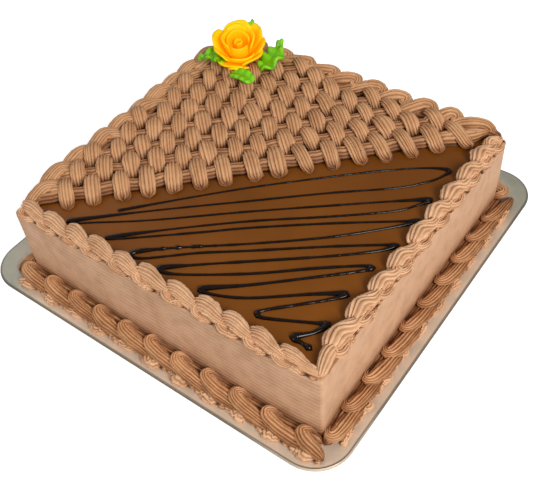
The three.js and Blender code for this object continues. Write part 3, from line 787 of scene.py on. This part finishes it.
class CAKE_OT_weave(bpy.types.Operator):
    """Pipes the basket weave of long strands and short bands"""
    bl_idname = "cake.weave"
    bl_label = "Basket weave"

    SHORTEST = 30
    # Where the first strand lies along V, and each strand's folded left end and curled right end
    FIRST = 8.0
    FOLDS = [10.0, 28.0, 43.0, 61.0, 76.0, 91.5, 104.0, 118.5, 132.0, 148.0]
    CURLS = [8.0, 27.0, 41.5, 57.0, 72.0, 87.5, 102.0, 118.0, 133.5, 152.0]
    # U, V, height and half width along the strokes of each end, from its place at the edge of the top
    FOLD_HUMP = [(17, 5.0, 1.8, 4.4), (10.5, 5.6, 4.2, 5.6), (4.4, 3.8, 5.0, 6.4), (-1.0, -0.6, 3.6, 6.6),
                 (-5.4, -4.6, 0.4, 6.4), (-9.2, -8.2, -4.4, 5.8), (-11.6, -10.8, -9, 5.0)]
    FOLD_BEND = [(30, 0, 0.5, 5.2), (20, 0, 2.6, 5.8), (11, 1.2, 3.4, 5.8), (4, -1.2, 1.2, 5.0)]
    CURL_BEND = [(-28, 0, -0.6, 6.0), (-16, 0, 2.2, 6.6), (-7, 2.4, 3.6, 6.6), (-1.6, -0.6, 3.4, 5.4),
                 (-1.8, -4.6, 2.4, 4.0), (-5.6, -6.8, 1.6, 2.6)]
    CURL = [(-0.4, -3.6, 6.6, 1.8), (-1.0, -7.6, 5.2, 2.2), (-4.8, -8.8, 4.8, 2.3), (-6.8, -5.8, 5.8, 2.0),
            (-4.2, -4.6, 7.4, 1.4)]
    # The same along the three strokes at the right corner, from the middle of the top
    CORNER = [
        [(150, 16.0, -1.6, 4.0), (157, 12.4, -1.4, 4.6), (164, 8.5, -1.4, 4.8), (168, 4.5, -1.6, 4.4),
         (170.5, 1.0, -2.4, 2.2)],
        [(126, 7.6, 0, 6.4), (140, 5.4, 0.8, 6.8), (149, 4.8, 1.4, 6.0), (157, 5.8, 1.8, 3.6),
         (164, 7.4, 1.6, 0.8)],
        [(136, 18.5, 0, 4.6), (146, 18.8, 2.6, 4.8), (156, 16.4, 3.6, 4.6), (163.5, 12.6, 3.4, 4.0),
         (166.6, 8.0, 1.6, 3.0), (166.2, 4.4, 0, 1.6)],
    ]
    # Along V from the strand, height and half width of a band, from its back end to its front end
    FRONT_BAND = [(10.8, 3.8, 3.8), (7.4, 6.6, 5.0), (1.5, 7.6, 5.5), (-5, 5.6, 5.6), (-9.5, 3.0, 5.5),
                  (-13.4, 1.6, 5.2)]
    BAND = [(10.8, 4.6, 4.0), (7.2, 7.2, 5.3), (1.4, 8.2, 5.9), (-3.6, 6.4, 6.0), (-7.2, 3.6, 5.8),
            (-9.4, 1.2, 5.4)]

    def execute(self, context):
        """Strands run along U with folded left ends and curled right ends. Each band arches over one
        strand and dips under the strand in front, and the bands of every other strand stand half a pitch
        on."""
        sizes = context.scene.cake_sizes
        self.base = sizes.cake_top / MM + GAP
        self.shade = (self.base + 1.0, self.base + 6.2)
        self.rng = np.random.default_rng(11)
        strand_pitch, band_pitch = sizes.strand_pitch / MM, sizes.band_pitch / MM
        x, y = sizes.half_x / MM, sizes.half_y / MM
        strands, ends, front, back = Mass(), Mass(), Mass(), Mass()
        for k, (fold, curl) in enumerate(zip(self.FOLDS, self.CURLS)):
            v = self.FIRST + k * strand_pitch
            left, right = v - x * ROOT2, y * ROOT2 - v
            self.strand(strands, v, left, right)
            self.folded_end(ends, v, fold, fold - x * ROOT2 + (9 if k == 0 else 1))
            if k:
                self.curled_end(ends, v, curl, y * ROOT2 - curl)
            shift = 0.0 if k % 2 else 0.5
            first, last = left + (24 if k == 0 else 14), right - (24 if k == 0 else 15)
            for i in range(-9, 10):
                u = (i + shift) * band_pitch
                if first < u < last:
                    self.band(front if k < 3 else back, u + self.rng.uniform(-1.2, 1.2), v, k == 0)
        self.corner(ends)
        self.edges(strands, x, y)
        for name, mass in (("weave_strands", strands), ("weave_ends", ends),
                           ("weave_bands_front", front), ("weave_bands_back", back)):
            piece(name, mass, piped_cream(), "basket_weave")
        return {"FINISHED"}

    def strand(self, mass, v, left, right):
        """A long ridged stroke with a flat underside. A strand too short for one has its two ends
        alone."""
        if right - left < self.SHORTEST:
            return
        count = int((right - left) / 2)
        u = np.linspace(left + 4, right - 6, count)
        path = xyz(u, v + 0.5 * wander(self.rng, count, 1)[:, 0], self.base)
        cream_stroke(mass, from_weave, path, 6.1, 7.0, self.rng, ridges=12, groove=0.16, sharp=0.3, fine=5,
                     dig=0.6, ends=(0.03, 0.03), shade=(self.base + 1, self.base + 9.5))

    def edges(self, mass, x, y):
        """A low stroke under the ends along each back edge, which closes the gaps between them and carries
        painted shade so that they look dark.
        """
        for turned, first, last, reach in ((-1, 16, 160, x), (1, 7, 160, y)):
            v = np.linspace(first, last, 80)
            path = xyz(turned * (reach * ROOT2 - v - 9), v, self.base)
            cream_stroke(mass, from_weave, path, 7.5, 4.6, self.rng, groove=0.2, sharp=0.3, fine=5, dig=0.6,
                         ends=(0.03, 0.03), row_shade=0.35)

    def folded_end(self, mass, v, at, left):
        """The strand bends to its place at the edge, where a short stroke humps over it and runs down to
        the front along the edge."""
        base, rng = self.base, self.rng
        hump = np.array(self.FOLD_HUMP) + [left, at, base, 0]
        hump[1:6, 1] += rng.uniform(-0.8, 0.8)
        hump[1:3, 2] += rng.uniform(-0.5, 0.6)
        curved_stroke(mass, from_weave, hump, 36, rng, share=0.56, ridges=14, groove=0.2, sharp=0.4,
                      dig=3.0, ends=(0.12, 0.12), shade=(base - 8, base + 3))
        bend = np.array(self.FOLD_BEND) + [left, at, base, 0]
        bend[:2, 1] = v, 0.6 * v + 0.4 * at
        curved_stroke(mass, from_weave, bend, 26, rng, share=0.7, ridges=11, groove=0.2, sharp=0.3,
                      dig=2.0, ends=(0.1, 0.2), shade=(base - 1, base + 7))

    def curled_end(self, mass, v, at, right):
        """The strand bends to its place at the edge, turns to the front and ends in a small tight curl."""
        edge = [right, at, self.base, 0]
        bend = np.array(self.CURL_BEND) + edge
        bend[:2, 1] = v, 0.4 * v + 0.6 * at + 2
        bend[2:4, 1] += self.rng.uniform(-0.7, 0.7)
        curved_stroke(mass, from_weave, bend, 36, self.rng, 2.6, 0.62, ridges=11, groove=0.24, sharp=0.45,
                      dig=3.0, ends=(0.2, 0.1), shade=self.shade)
        curved_stroke(mass, from_weave, np.array(self.CURL) + edge, 22, self.rng, ridges=5, groove=0.3,
                      sharp=0.3, shade=self.shade)

    def corner(self, mass):
        """The front strand narrows to a point at the right corner, and a second one bends down behind it,
        with a third under both."""
        for points in self.CORNER:
            curved_stroke(mass, from_weave, np.array(points) + [0, 0, self.base, 0], 34, self.rng, 2.4,
                          0.72, ridges=11, groove=0.2, sharp=0.6, dig=0.8, ends=(0.08, 0.08),
                          shade=self.shade)

    def band(self, mass, u, v, first):
        """An arch over one strand, narrow and ragged at its back end, wide over its crest. Bands to the
        right slant more, and those of the first strand end roundly on the glaze."""
        rng = self.rng
        slope = rng.uniform(-0.09, 0.13) + (0.26 if first else 0.2) * np.clip((u + 20) / 120, 0, 1)
        size = rng.uniform(0.9, 1.1)
        lift = rng.uniform(-0.5, 0.5)
        along, z, half = np.array(self.FRONT_BAND if first else self.BAND).T
        slant = u - slope * along + 0.02 * slope * along ** 2
        path = smooth_path(np.column_stack([slant, v + along, self.base + z + lift, size * half]), 25)
        heights = size * (2.9 + 1.2 * np.sin(math.pi * np.linspace(0, 1, 25)))
        cream_stroke(mass, from_weave, path[:, :3], path[:, 3], heights, rng, ridges=12, groove=0.3,
                     sharp=0.55, dig=2.0, ends=(0.05, 0.1 if first else 0.04), crown=6.2, shade=self.shade)


class BorderRow:
    """One row of piped commas in the frame of its wall: along, in from the wall's face, and up."""

    def __init__(self, side, starts, base, end, seed):
        self.side, self.starts, self.base, self.end = side, starts, base, end
        self.rng = np.random.default_rng(seed)

    def place(self, points):
        """Points in the frame of the wall."""
        return from_side(self.side, points)

    def commas(self, mass, shape, spread, lift, shade, twist, crown, ridges, groove, sway=0.0):
        """Every comma starts at its head, is fullest there and sweeps forward to a thin tail, which goes
        under the next one. The last one is smaller and its tail stops at the corner. The ridges turn by
        twist on the way and sway to and fro."""
        rng = self.rng
        t = np.linspace(0, 1, 48)
        for start, following in zip(self.starts, [*self.starts[1:], None]):
            size = (0.84 if following is None else 1) + rng.uniform(-0.07, 0.07)
            control = np.array(shape, float)
            length = control[-1, 0]
            pitch = (self.end - start) / length * COMMA_PITCH if following is None else following - start
            longer = min(pitch, COMMA_PITCH + 2) / COMMA_PITCH
            control[:, 0] = start + control[:, 0] * np.where(control[:, 0] > 0, longer, 1)
            control[:, 1] = control[:, 1] * spread + rng.uniform(-0.4, 0.4)
            control[:, 2] = self.base + control[:, 2] * lift * size
            control[:, 3] *= size
            path = smooth_path(control, 48)
            swing = sway * np.sin(3.5 * math.pi * t + 0.6)
            cream_stroke(mass, self.place, path[:, :3], path[:, 3], (0.9 + 0.66 * path[:, 3]) * lift, rng,
                         ridges=ridges, groove=groove, sharp=0.6, ends=(0.03, 0.1), crown=crown, tear=0.16,
                         twist=twist * rng.uniform(0.7, 1.2) * t + swing, shade=shade)

    def hooks(self, mass, shape, shade):
        """A small ridged hook under the head of every comma."""
        for start in self.starts:
            control = np.array(shape, float)
            control[:, 0] += start + self.rng.uniform(-1, 1)
            control[:, 2] += self.base
            curved_stroke(mass, self.place, control, 34, self.rng, ridges=7, groove=0.36, sharp=0.7,
                          tear=0.3, ends=(0.1, 0.15), crown=1.0, shade=shade)

    def skirt(self, mass, distance, bulge, radius, height, shade):
        """The ragged outer edge: a torn, ridged thread that bulges out beside every head and shrinks to a
        pit behind it, which painted shade darkens."""
        rng = self.rng
        low, high = self.starts[0] - 1, self.end
        count = int((high - low) / 0.55)
        along = np.linspace(low, high, count)
        number = np.interp(along, [*self.starts, self.end + 4], np.arange(len(self.starts) + 1))
        phase = number % 1
        full = np.exp(-((phase - 0.28) / 0.2) ** 2)
        pit = np.exp(-((phase - 0.62) / 0.085) ** 2) + 0.7 * np.exp(-((phase - 0.84) / 0.05) ** 2)
        rough = np.repeat(wander(rng, count // 2 + 1, 3), 2, axis=0)[:count]
        away = distance + bulge * (0.8 * full - 0.8 * pit + 0.3 * rough[:, 0])
        radii = np.maximum(radius * (0.82 + 0.32 * full - 0.4 * pit + 0.12 * rough[:, 1]), 0.5)
        path = xyz(along, away, self.base + height * (0.8 + 0.3 * full) + 0.2 * rough[:, 2])
        twist = 5 * np.linspace(0, 1, count) + 0.5 * rough[:, 0]
        # The pits also darken with painted shade
        cream_stroke(mass, self.place, path, radii, radii, rng, ridges=7, groove=0.34, fine=5, dig=2.0,
                     tear=0.3, ends=(0.01, 0.01), twist=twist, shade=shade, row_shade=0.9 * pit)

    def bed(self, mass, distance, radius, low, high, shade):
        """A low ridged roll under the commas, which closes the gaps between them."""
        path = xyz(np.linspace(low, high, 90), distance, self.base)
        cream_stroke(mass, self.place, path, radius, radius, self.rng, groove=0.24, sharp=0.6, dig=0.5,
                     ends=(0.02, 0.02), tear=0.3, shade=shade)


class CAKE_OT_top_borders(bpy.types.Operator):
    """Pipes the two borders along the front edges of the top"""
    bl_idname = "cake.top_borders"
    bl_label = "Top borders"

    # Node, ends along the wall, and the commas' twist, crown, ridges, grooves and sway
    ROWS = [("top_border_left", -122, 121, (-1.1, 2.8, 13, 0.25, 0.05)),
            ("top_border_right", -119, 119, (1.0, 2.8, 9, 0.34, 0.3))]
    # Where the commas start along each wall
    STARTS = [
        [-116.0, -94.5, -73.0, -54.0, -30.0, -10.0, 14.3, 37.5, 58.2, 78.0, 98.5],
        [-98.0, -73.2, -49.5, -27.7, -1.5, 22.2, 42.4, 66.0, 88.0, 106.0],
    ]
    # Along, in from the wall, height and half width of the commas of each wall, from head to tail
    COMMAS = [
        [(-3.0, 7.4, 3.4, 4.2), (-0.2, 7.5, 4.4, 5.2), (4.0, 7.0, 4.9, 5.6), (9.0, 6.0, 4.7, 5.2),
         (15.0, 4.6, 3.9, 4.3), (21.0, 3.4, 3.0, 3.2), (26.0, 2.8, 2.2, 2.0)],
        [(-2.4, 7.2, 3.0, 3.6), (0.2, 7.9, 4.2, 5.0), (3.8, 7.9, 4.9, 5.8), (9.0, 7.0, 4.7, 5.4),
         (15.0, 5.2, 3.9, 4.6), (21.0, 3.8, 3.0, 3.4), (26.0, 3.2, 2.2, 2.2)],
    ]
    HOOK = [(11.0, 1.0, 1.2, 1.1), (6.0, -0.4, 1.8, 1.7), (1.0, -0.6, 2.2, 2.2), (-2.6, 1.4, 2.8, 2.6),
            (-1.8, 4.6, 3.4, 2.6), (2.0, 6.4, 3.6, 2.0)]
    # The same for the long stroke that the right border starts with
    OPENING = [(-121, 3.0, 1.5, 2.4), (-113, 4.8, 3.2, 4.2), (-104, 6.2, 3.6, 4.6), (-95, 5.2, 2.6, 2.8)]

    def execute(self, context):
        """Each border is a bed, commas with a hook under each head, and a ragged outer edge."""
        base = context.scene.cake_sizes.cake_top / MM + GAP
        shade = (base - 1.5, base + 3.5)
        for side, (node, low, high, form) in enumerate(self.ROWS):
            mass = Mass()
            row = BorderRow(side, self.STARTS[side], base, high, 21 + side)
            row.bed(mass, 5.0, 4.6, low, high, shade)
            row.commas(mass, self.COMMAS[side], 1.0, 1.0, shade, *form)
            row.hooks(mass, self.HOOK, shade)
            row.skirt(mass, 0.7, -0.9, 1.9, 1.2, (base - 2.0, base + 1.5))
            if side:
                points = np.array(self.OPENING, float) + [0, 0, base, 0]
                curved_stroke(mass, row.place, points, 34, row.rng, ridges=11, groove=0.26, sharp=0.8,
                              fine=7, twist=0.8, shade=shade)
            piece(node + "_piped", mass, border_cream(), node)
        return {"FINISHED"}


class CAKE_OT_foot_borders(bpy.types.Operator):
    """Pipes the four borders along the foot of the walls"""
    bl_idname = "cake.foot_borders"
    bl_label = "Foot borders"

    # Wall, where its first comma starts, number of commas, and where the row ends
    ROWS = [("front_left", -126.0, 11, 134), ("front_right", -119.0, 10, 132),
            ("back_right", -126.0, 11, 131), ("back_left", -126.0, 11, 132)]
    # Spread and lift of the commas, distance and half width of the lips: on the first wall and the one
    # across from it, and on the other two
    FORMS = [(0.82, 0.94, -13.4, 3.2), (0.7, 0.86, -11.4, 2.6)]
    # Along, in from the wall, height and half width of a comma, from its hook at the wall to its tail
    COMMA = [(7.5, -1.6, 1.0, 1.1), (4.6, -0.2, 3.8, 1.7), (0.6, -0.8, 6.2, 2.6), (-2.4, -4.4, 7.4, 3.8),
             (0.6, -8.6, 6.9, 4.9), (8.5, -11.2, 5.8, 5.3), (16.0, -12.2, 4.8, 5.1),
             (23.5, -13.1, 3.6, 4.2), (30.0, -13.8, 2.4, 2.4)]

    def execute(self, context):
        """Each border is a bed at the wall, commas, and ragged lips outside them."""
        base = context.scene.cake_sizes.board_thickness / MM + GAP
        for side, (wall, first, count, end) in enumerate(self.ROWS):
            spread, lift, distance, radius = self.FORMS[side % 2]
            row = BorderRow(side, [first + FOOT_PITCH * i for i in range(count)], base, end, 31 + side)
            mass, lips = Mass(), Mass()
            row.bed(mass, -2.4, 4.8, -126, 126, (base - 3.0, base + 9.4))
            row.commas(mass, self.COMMA, spread, lift, (base + 1.0, base + 9.4), -0.5, 1.0, 13, 0.3)
            row.skirt(lips, distance, -1.5, radius, 1.6, (base - 4.5, base - 1.0))
            piece("foot_border_" + wall, mass, piped_cream(), "bottom_border_" + wall)
            # The lips take the lighter border cream as painted light, for the brighter light that falls on
            # them
            piece("foot_lips_" + wall, lips, border_cream(), "bottom_border_" + wall)
        return {"FINISHED"}


def petal_surface(petal, peak, phase, ripple, share):
    """A petal is a sheet round the middle: its radius grows from foot to rim by a power of the height and
    bulges halfway up, and its rim is a wavy arch, lower at both sides, that rolls outwards."""
    way, arc, foot, rim, low, high, curl, bulge = petal

    def surface(p, q):
        turn = way + p * arc / 2 * (1 - 0.25 * (1 - q) ** 2)
        arch = 1 - 0.24 * np.abs(p) ** peak
        radius = foot + (rim - foot) * np.abs(q) ** 1.3 * (1 - 0.08 * p * p)
        radius = radius + bulge * np.sin(math.pi * np.clip(q, 0, 1)) ** 1.3
        radius = radius + curl * np.clip(q - 0.75, 0, 1) * 3 + 0.4 * np.sin(3 * p + phase) * q * q
        height = low + (high - low) * np.abs(q) ** 0.9 * arch - curl * np.clip(q - 0.85, 0, 1) * 3
        height = height + 0.4 * np.sin(4 * p + ripple) * q
        return xyz(share * radius * np.cos(turn), share * radius * np.sin(turn), height)

    return surface


class CAKE_OT_rose(bpy.types.Operator):
    """Pipes the yellow rose"""
    bl_idname = "cake.rose"
    bl_label = "Rose"

    # Direction, arc, foot radius, rim radius, foot height, rim height, curl of the rim, bulge
    PETALS = [
        (0.5, 5.8, 1.6, 2.9, 8, 17.4, 0.1, 0.2),
        (1.6, 3.7, 4.6, 8.4, 4, 22.0, 0.3, 1.6), (-1.6, 2.9, 4.8, 7.6, 2, 15.6, 0.3, 2.4),
        (2.75, 2.5, 6.0, 12.2, 3, 21.8, 0.6, 1.8), (0.35, 2.5, 6.0, 12.8, 3, 21.6, 0.7, 1.8),
        (1.6, 1.7, 6.2, 13.2, 3, 23.8, 0.6, 1.5), (-1.55, 2.7, 6.6, 12.8, 1, 8.8, 0.7, 2.2),
        (1.47, 1.5, 7.0, 17.2, 2, 24.6, 0.8, 1.2), (0.42, 1.05, 7.4, 19.6, 1, 23.2, 0.9, 1.8),
        (2.7, 1.25, 7.4, 20.0, 1, 21.4, 0.9, 1.8), (-0.12, 1.1, 7.4, 20.2, 1, 15.6, 1.1, 2.0),
        (3.42, 1.3, 7.4, 18.8, 1, 13.6, 1.1, 2.0), (-0.8, 1.6, 7.4, 18.4, 0, 8.8, 1.1, 2.4),
        (-2.35, 1.7, 7.4, 18.6, 0, 5.4, 0.8, 2.4), (-1.75, 1.0, 7.4, 18.2, -1, 3.4, 0.5, 2.6),
    ]
    # Which petal hoods the heart, and the power of the arch along its rim and along the others'
    HOOD, HOOD_ARCH, ARCH = 1, 1.5, 3.4

    def execute(self, context):
        """Petals stand round a tapering core of level circles. The inner ones are deeper in colour, and
        every petal is palest at its rim."""
        rng = np.random.default_rng(7)
        sizes = context.scene.cake_sizes
        middle = np.array([-0.3, 124.5, sizes.cake_top / MM + 13.0])
        mass = Mass()

        def place(points):
            return from_weave(points + middle)

        for number, petal in enumerate(self.PETALS):
            phase, ripple = rng.uniform(0, 6, 2)
            peak = self.HOOD_ARCH if number == self.HOOD else self.ARCH
            surface = petal_surface(petal, peak, phase, ripple, sizes.rose_radius / MM / 20.5)
            inner = max(0.0, 1 - number / 6)
            thin_sheet(mass, place, surface, 36, 24, 1.7,
                       lambda p, q: np.clip(0.9 - q + 0.25 * inner, 0, 1))
        heights = np.linspace(0, 14.5, 16)[:, None]
        radii = np.interp(heights, [0, 5, 10, 14.5], [8.0, 5.0, 2.6, 1.2])
        turn = np.arange(20) * 2 * math.pi / 20
        rings = xyz(radii * np.cos(turn), radii * np.sin(turn), heights)
        mass.tube(place, rings, [[0, 0, 0], [0, 0, 15.0]], 0.8, 0.8)
        material = once("petal cream", petal_material, context.scene.cake_colours)
        piece("rose_petals", mass, material, "rose", attribute="depth", sheets=True)
        return {"FINISHED"}


def leaf_surface(line, half, ripple, phase, blunt):
    """A leaf is a sheet carried along its midrib: it widens fast and narrows to a point, or has two round
    ends where it is blunt. It folds up on both sides of the midrib, and its margins ripple."""
    side = directions(line)[1]
    steps = np.linspace(0, 1, len(line))

    def surface(p, q):
        at = np.clip(q, 0, 1)
        middle, across = [np.stack([np.interp(at, steps, column) for column in rows.T], -1)
                          for rows in (line, side)]
        if blunt:
            width = half * np.sqrt(np.clip(1 - np.abs(2 * at - 1) ** 4, 0.08, 1))
        else:
            width = half * (0.4 + 0.6 * np.sin(math.pi * np.clip(at * 1.2, 0, 1) ** 0.8))
            width = width * (1 - np.clip((at - 0.45) / 0.55, 0, 1) ** 1.6 * 0.93)
            width = width * (1 + 0.15 * np.sin(24 * at + 2 * phase + 2 * np.sign(p)))
        wave = ripple * np.abs(p) ** 1.1 * np.sin(24 * at + phase + np.where(p > 0, 1.3, 0))
        fold = 2.6 * np.abs(p) ** 1.5 - 0.5
        return middle + across * (p * width)[..., None] + xyz(0, 0, wave + fold)

    return surface


class CAKE_OT_leaves(bpy.types.Operator):
    """Pipes the four green leaves round the rose"""
    bl_idname = "cake.leaves"
    bl_label = "Leaves"

    # Node, midrib in U, V and height above the cake's top, half width, ripple, and whether it is blunt
    LEAVES = [
        ("leaf_left", [(-9, 122, 14), (-16, 126, 18), (-24, 128, 18), (-33, 131, 14)], 10.5, 2.0, False),
        ("leaf_right", [(13, 112, 9), (20, 114, 12), (28, 121, 15), (36.5, 138, 16.5)], 8.0, 2.4, False),
        ("leaf_front", [(-9.5, 106.5, 12.5), (-5, 102.5, 14.5), (0, 98, 14.5), (5, 93, 12)],
         6.2, 0.15, True),
        ("leaf_back", [(8, 140, 12), (11, 150, 16.5), (14, 158, 20), (16.5, 164, 21.5)], 6.6, 1.0, False),
    ]

    def execute(self, context):
        """Each leaf is a sheet, with painted shade along its midrib and in the folds of its ripples."""
        top = context.scene.cake_sizes.cake_top / MM
        material = once("leaf cream", leaf_material, context.scene.cake_colours)
        for number, (node, midrib, half, ripple, blunt) in enumerate(self.LEAVES):
            phase = np.random.default_rng(50 + number).uniform(0, 6)
            line = smooth_path(np.array(midrib, float) + [0, 0, top], 60)

            # Painted shade: darker in the folds of the ripples and along the midrib
            def depth(p, q):
                fold = np.sin(24 * q + phase) * np.abs(p)
                return np.clip(0.35 - 0.5 * fold + 0.4 * (1 - np.abs(p)) ** 4, 0, 1)

            mass = Mass()
            thin_sheet(mass, from_weave, leaf_surface(line, half, ripple, phase, blunt), 25, 80, 3.2, depth)
            piece(node + "_piped", mass, material, node, attribute="depth", sheets=True)
        return {"FINISHED"}


def stand(name, data, right, up, back, place):
    """An object that stands at a place, with its own X, Y and Z along three directions."""
    made = bpy.data.objects.new(name, data)
    rows = [(right[i], up[i], back[i], place[i]) for i in range(3)]
    made.matrix_world = Matrix([*rows, (0, 0, 0, 1)])
    bpy.context.scene.collection.objects.link(made)
    return made


class CAKE_OT_stage(bpy.types.Operator):
    """Sets the pale floor, the soft lights and the camera"""
    bl_idname = "cake.stage"
    bl_label = "Stage"

    # The camera's right, up and back directions and its place in metres, as the photograph's stood
    CAMERA = [(0.80798, 0.58638, -0.05760), (-0.40355, 0.62197, 0.67104), (0.42932, -0.51894, 0.73918),
              (0.2632, -0.3232, 0.4338)]
    # Focal length and sensor width in millimetres, and the nearest thing it sees in metres
    LENS, SENSOR, NEAREST = 52.77, 36.0, 0.01
    # Place, aim, size in metres, power in watts and colour of each soft light
    LIGHTS = [
        ("key_light", (1.4, -0.58, 1.1), (0.0, 0.0, 0.05), 0.7, 23.4, (1.0, 0.98, 0.95)),
        ("fill_light", (-0.7, -1.4, 0.9), (0.0, 0.0, 0.05), 0.9, 5.1, (0.98, 0.99, 1.0)),
        ("back_light", (-1.5, 0.5, 1.0), (0.0, 0.05, 0.08), 0.9, 2.5, (0.98, 0.99, 1.0)),
    ]
    ROOM_LIGHT = 0.28
    # Half of the floor's side, and how far it lies below the board, in millimetres
    FLOOR_REACH, FLOOR_DROP = 3000, 0.2

    def execute(self, context):
        """The camera stands and looks as the photograph's did, with no shift and no blur. Each light is a
        square that faces its aim. The floor is a flat grid."""
        scene = context.scene
        camera = bpy.data.cameras.new("camera")
        camera.sensor_fit = "HORIZONTAL"
        camera.sensor_width, camera.lens, camera.clip_start = self.SENSOR, self.LENS, self.NEAREST
        scene.camera = stand("camera", camera, *self.CAMERA)

        for name, place, aim, size, power, colour in self.LIGHTS:
            light = bpy.data.lights.new(name, "AREA")
            light.shape, light.size, light.energy, light.color = "SQUARE", size, power, colour
            ahead = unit(np.array(aim) - np.array(place))
            across = unit(np.cross(ahead, UP))
            stand(name, light, across, np.cross(across, ahead), -ahead, place)

        world = bpy.data.worlds.new("pale_room")
        world.use_nodes = True
        background = world.node_tree.nodes["Background"].inputs
        background["Color"].default_value = (1.0, 1.0, 1.0, 1.0)
        background["Strength"].default_value = self.ROOM_LIGHT
        scene.world = world

        grid = np.linspace(-self.FLOOR_REACH, self.FLOOR_REACH, 9)
        across, along = np.meshgrid(grid, grid)
        mass = Mass()
        mass.add(xyz(across.ravel(), along.ravel(), -self.FLOOR_DROP), quads_of_grid(9, 9, False),
                 np.zeros((0, 3), int), np.zeros(across.size))
        mesh = mass.mesh("pale_floor", "groove")
        mesh.materials.append(floor_material())
        floor = bpy.data.objects.new("pale_floor", mesh)
        scene.collection.objects.link(floor)
        scene.view_settings.view_transform = "Standard"
        return {"FINISHED"}


OPERATORS = (
    CAKE_OT_board, CAKE_OT_walls, CAKE_OT_glaze, CAKE_OT_weave, CAKE_OT_top_borders, CAKE_OT_foot_borders,
    CAKE_OT_rose, CAKE_OT_leaves, CAKE_OT_stage,
)


class CAKE_PT_panel(bpy.types.Panel):
    """Lists the steps that build the cake"""
    bl_label = "Cake"
    bl_idname = "CAKE_PT_panel"
    bl_space_type = "VIEW_3D"
    bl_region_type = "UI"
    bl_category = "Cake"

    def draw(self, context):
        """A button for each step, then the sizes and colours."""
        for operator in OPERATORS:
            self.layout.operator(operator.bl_idname)
        for group in (context.scene.cake_sizes, context.scene.cake_colours):
            for key in group.bl_rna.properties.keys():
                if key not in ("rna_type", "name"):
                    self.layout.prop(group, key)


CLASSES = (CakeSizes, CakeColours, *OPERATORS, CAKE_PT_panel)


def register():
    """Registers the classes and gives the scene its sizes and colours."""
    for cls in CLASSES:
        bpy.utils.register_class(cls)
    bpy.types.Scene.cake_sizes = bpy.props.PointerProperty(type=CakeSizes)
    bpy.types.Scene.cake_colours = bpy.props.PointerProperty(type=CakeColours)


def unregister():
    """Takes back what register did."""
    del bpy.types.Scene.cake_colours
    del bpy.types.Scene.cake_sizes
    for cls in reversed(CLASSES):
        bpy.utils.unregister_class(cls)


def main():
    """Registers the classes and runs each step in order."""
    register()
    for operator in OPERATORS:
        group, name = operator.bl_idname.split(".")
        getattr(getattr(bpy.ops, group), name)()


if __name__ == "__main__":
    main()
